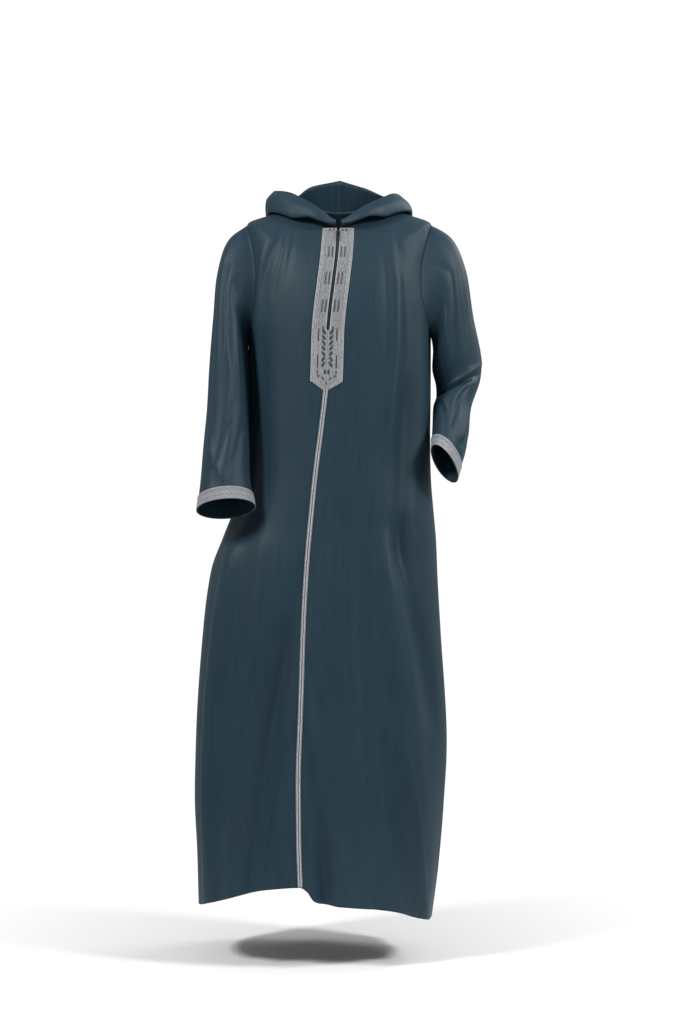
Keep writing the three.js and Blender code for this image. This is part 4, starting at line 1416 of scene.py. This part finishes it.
@dataclass
class CuffTrims(Trim):
    """Bands of embroidery round both cuffs."""

    band: float = CUFF_TRIM

    def build(self, sleeves: Sleeves) -> list[bpy.types.Object]:
        """Build both bands."""
        return [piece for side in Side for piece in self.cuff(sleeves, side)]

    def cuff(self, sleeves: Sleeves, side: Side) -> list[bpy.types.Object]:
        """One band: its ground, silver threads and dark dots."""
        turn = np.linspace(0, 2 * math.pi, 121)
        rim = sleeves.smooth_point(side, turn, np.ones(turn.shape))
        around = float(np.linalg.norm(np.diff(rim, axis=0), axis=1).sum())
        chart = cuff_chart(sleeves, side, around)

        def outline(u: np.ndarray, v: np.ndarray) -> np.ndarray:
            """Chart places of the band."""
            return np.stack([u * around, (1 - v) * self.band - 0.4], -1)

        node = f"cuff_trim_{side.word}"
        ground = self.strip(f"cuff_ground_{side.word}", chart, 120, 10, outline)
        silver, dark = Threads(chart), Threads(chart)
        a = np.arange(0, around, 1.5)
        for b, slant in ((1.0, 40), (3.4, -40), (6.0, 40), (self.band - 1.4, 40)):
            silver.add(a, np.full(a.shape, b), slant, 2.9, 1.4, 1.6)
        ribs = np.arange(0, around, 2.0)
        for b, slant in ((11.6, 62), (15.4, 62)):
            silver.add(ribs + (b - 13) * 0.5, np.full(ribs.shape, b), slant, 4.8, 1.5, 1.6)
        dots = np.arange(0, around, 5.2)
        for b in (8.6, self.band - 5.2):
            dark.add(dots, np.full(dots.shape, b), 45, 2.9, 2.2, 1.4)
            silver.add(dots + 2.6, np.full(dots.shape, b), 90, 2.8, 1.7, 1.5)
        threads = silver.mesh(f"cuff_threads_{side.word}")
        motif = dark.mesh(f"cuff_dots_{side.word}")
        declare(ground, node, self.ground)
        declare(threads, node, self.silver)
        declare(motif, node, self.dark)
        return [ground, threads, motif]


@dataclass
class ZipParts(Trim):
    """Zip tapes behind the opening, with the coil between them."""

    wall: float = 0.8
    lift: float = -2.1
    top: float = 35.0
    bottom: float = 249.0
    reach: float = 12.7
    coil_top: float = 45.5
    pitch: float = 1.9

    def build(self) -> list[bpy.types.Object]:
        """Build the coil and both tapes."""
        chart = centre_chart(self.top, self.bottom + 2, 14)
        turns = Threads(chart)
        for sign in (-1, 1):
            start = self.coil_top + (1 - sign) * self.pitch / 4
            turns.column(sign * 0.85, (start, self.bottom - 2), self.pitch, 0, 2.8, 1.2, -0.95)
        coil = turns.mesh("zip_coil")
        declare(coil, "zip_chain", self.dark)
        return [coil, *(self.tape(chart, side, coil) for side in Side)]

    def tape(self, chart: Chart, side: Side, coil: bpy.types.Object) -> bpy.types.Object:
        """One tape."""
        def outline(u: np.ndarray, v: np.ndarray) -> np.ndarray:
            """Chart places of the tape."""
            across = side.value * (0.3 + u * self.reach)
            return np.stack([across, self.top + v * (self.bottom - self.top)], -1)

        tape = self.strip(f"zip_tape_strip_{side.word}", chart, 6, 80, outline)
        declare(tape, f"zip_tape_{side.word}", self.ground)
        return tape


# ---- Studio ----------------------------------------------------------------------------------


@dataclass
class Studio:
    """Floor, lights, world and camera."""

    floor_height: float = -1.515
    camera_distance: float = 4.5
    camera_height: float = -0.605
    lens: float = 77.5

    def build(self) -> None:
        """Set up everything."""
        self.floor()
        self.lights()
        self.camera()

    def floor(self) -> None:
        """Wide pale floor."""
        work = bmesh.new()
        bmesh.ops.create_grid(work, x_segments=1, y_segments=1, size=3)
        bmesh.ops.translate(work, verts=work.verts, vec=(0, 0, self.floor_height))
        floor = finish_mesh("floor", work)
        graph = Graph("pale_floor")
        graph.shader.inputs["Base Color"].default_value = (0.92, 0.92, 0.92, 1)
        graph.shader.inputs["Roughness"].default_value = 0.8
        away = graph.number("ShaderNodeVectorMath", {"operation": "LENGTH"}, {
            0: graph.stretched(graph.object_place(), (1, 0.8, 0))}, 1)
        shown = graph.number("ShaderNodeMapRange", {"interpolation_type": "SMOOTHSTEP"}, {
            "Value": away, "From Min": 0.2, "From Max": 1.2, "To Min": 1.0, "To Max": 0.0})
        graph.feed(graph.shader.inputs["Alpha"], shown)
        floor.data.materials.append(graph.material)

    def lights(self) -> None:
        """Large soft lights and a bright world."""
        self._area("key", (-2.6, -2.2, 2.2), 152, 0.9)
        self._area("fill", (3.2, -1.7, 1.8), 148, 0.9)
        self._area("rim", (2.4, 1.6, 1.4), 40, 1.4)
        world = bpy.data.worlds.new("studio")
        world.use_nodes = True
        backdrop = world.node_tree.nodes["Background"]
        backdrop.inputs[0].default_value = (1, 1, 1, 1)
        path = world.node_tree.nodes.new("ShaderNodeLightPath")
        strength = world.node_tree.nodes.new("ShaderNodeMapRange")
        strength.inputs["To Min"].default_value = 0.36
        strength.inputs["To Max"].default_value = 1.05
        world.node_tree.links.new(path.outputs["Is Camera Ray"], strength.inputs["Value"])
        world.node_tree.links.new(strength.outputs[0], backdrop.inputs[1])
        bpy.context.scene.world = world
        bpy.context.scene.view_settings.view_transform = "Standard"

    def _area(self, name: str, place: tuple[float, float, float], power: float, size: float) -> None:
        """One square light aimed at the robe's middle."""
        lamp = bpy.data.lights.new(name, "AREA")
        lamp.energy = power
        lamp.size = size
        holder = bpy.data.objects.new(name, lamp)
        holder.location = place
        aim = Vector((0, 0, -0.6)) - Vector(place)
        holder.rotation_euler = aim.to_track_quat("-Z", "Y").to_euler()
        bpy.context.scene.collection.objects.link(holder)

    def camera(self) -> None:
        """Level camera in front of the robe."""
        data = bpy.data.cameras.new("camera")
        data.lens = self.lens
        data.sensor_width = 36.0
        data.sensor_fit = "AUTO"
        camera = bpy.data.objects.new("camera", data)
        camera.location = (0, -self.camera_distance, self.camera_height)
        camera.rotation_euler = (math.pi / 2, 0, 0)
        bpy.context.scene.collection.objects.link(camera)
        bpy.context.scene.camera = camera


def main() -> None:
    """Build the sub-assemblies in order."""
    logging.basicConfig(level=logging.INFO, format="%(name)s %(message)s")
    Studio().build()
    cloth = SatinCloth()
    trims = (TrimGround(), SilverThread(), DarkThread())
    RobePanels(cloth).build()
    sleeves = Sleeves(cloth)
    sleeves.build()
    Hood(cloth).build()
    placket = Placket(*trims)
    placket.build(centre_chart(placket.top - 4, placket.tip + 4, 36))
    CentreBraid(*trims).build(1345)
    CuffTrims(CuffGround(), trims[1], trims[2]).build(sleeves)
    ZipParts(ZipCloth(), trims[1], ZipCloth()).build()
    for name in ("zip_slider", "zip_pull"):
        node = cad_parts[name]
        node.data.materials.clear()
        node.data.materials.append(DarkMetal().material())


if __name__ == "__main__":
    main()
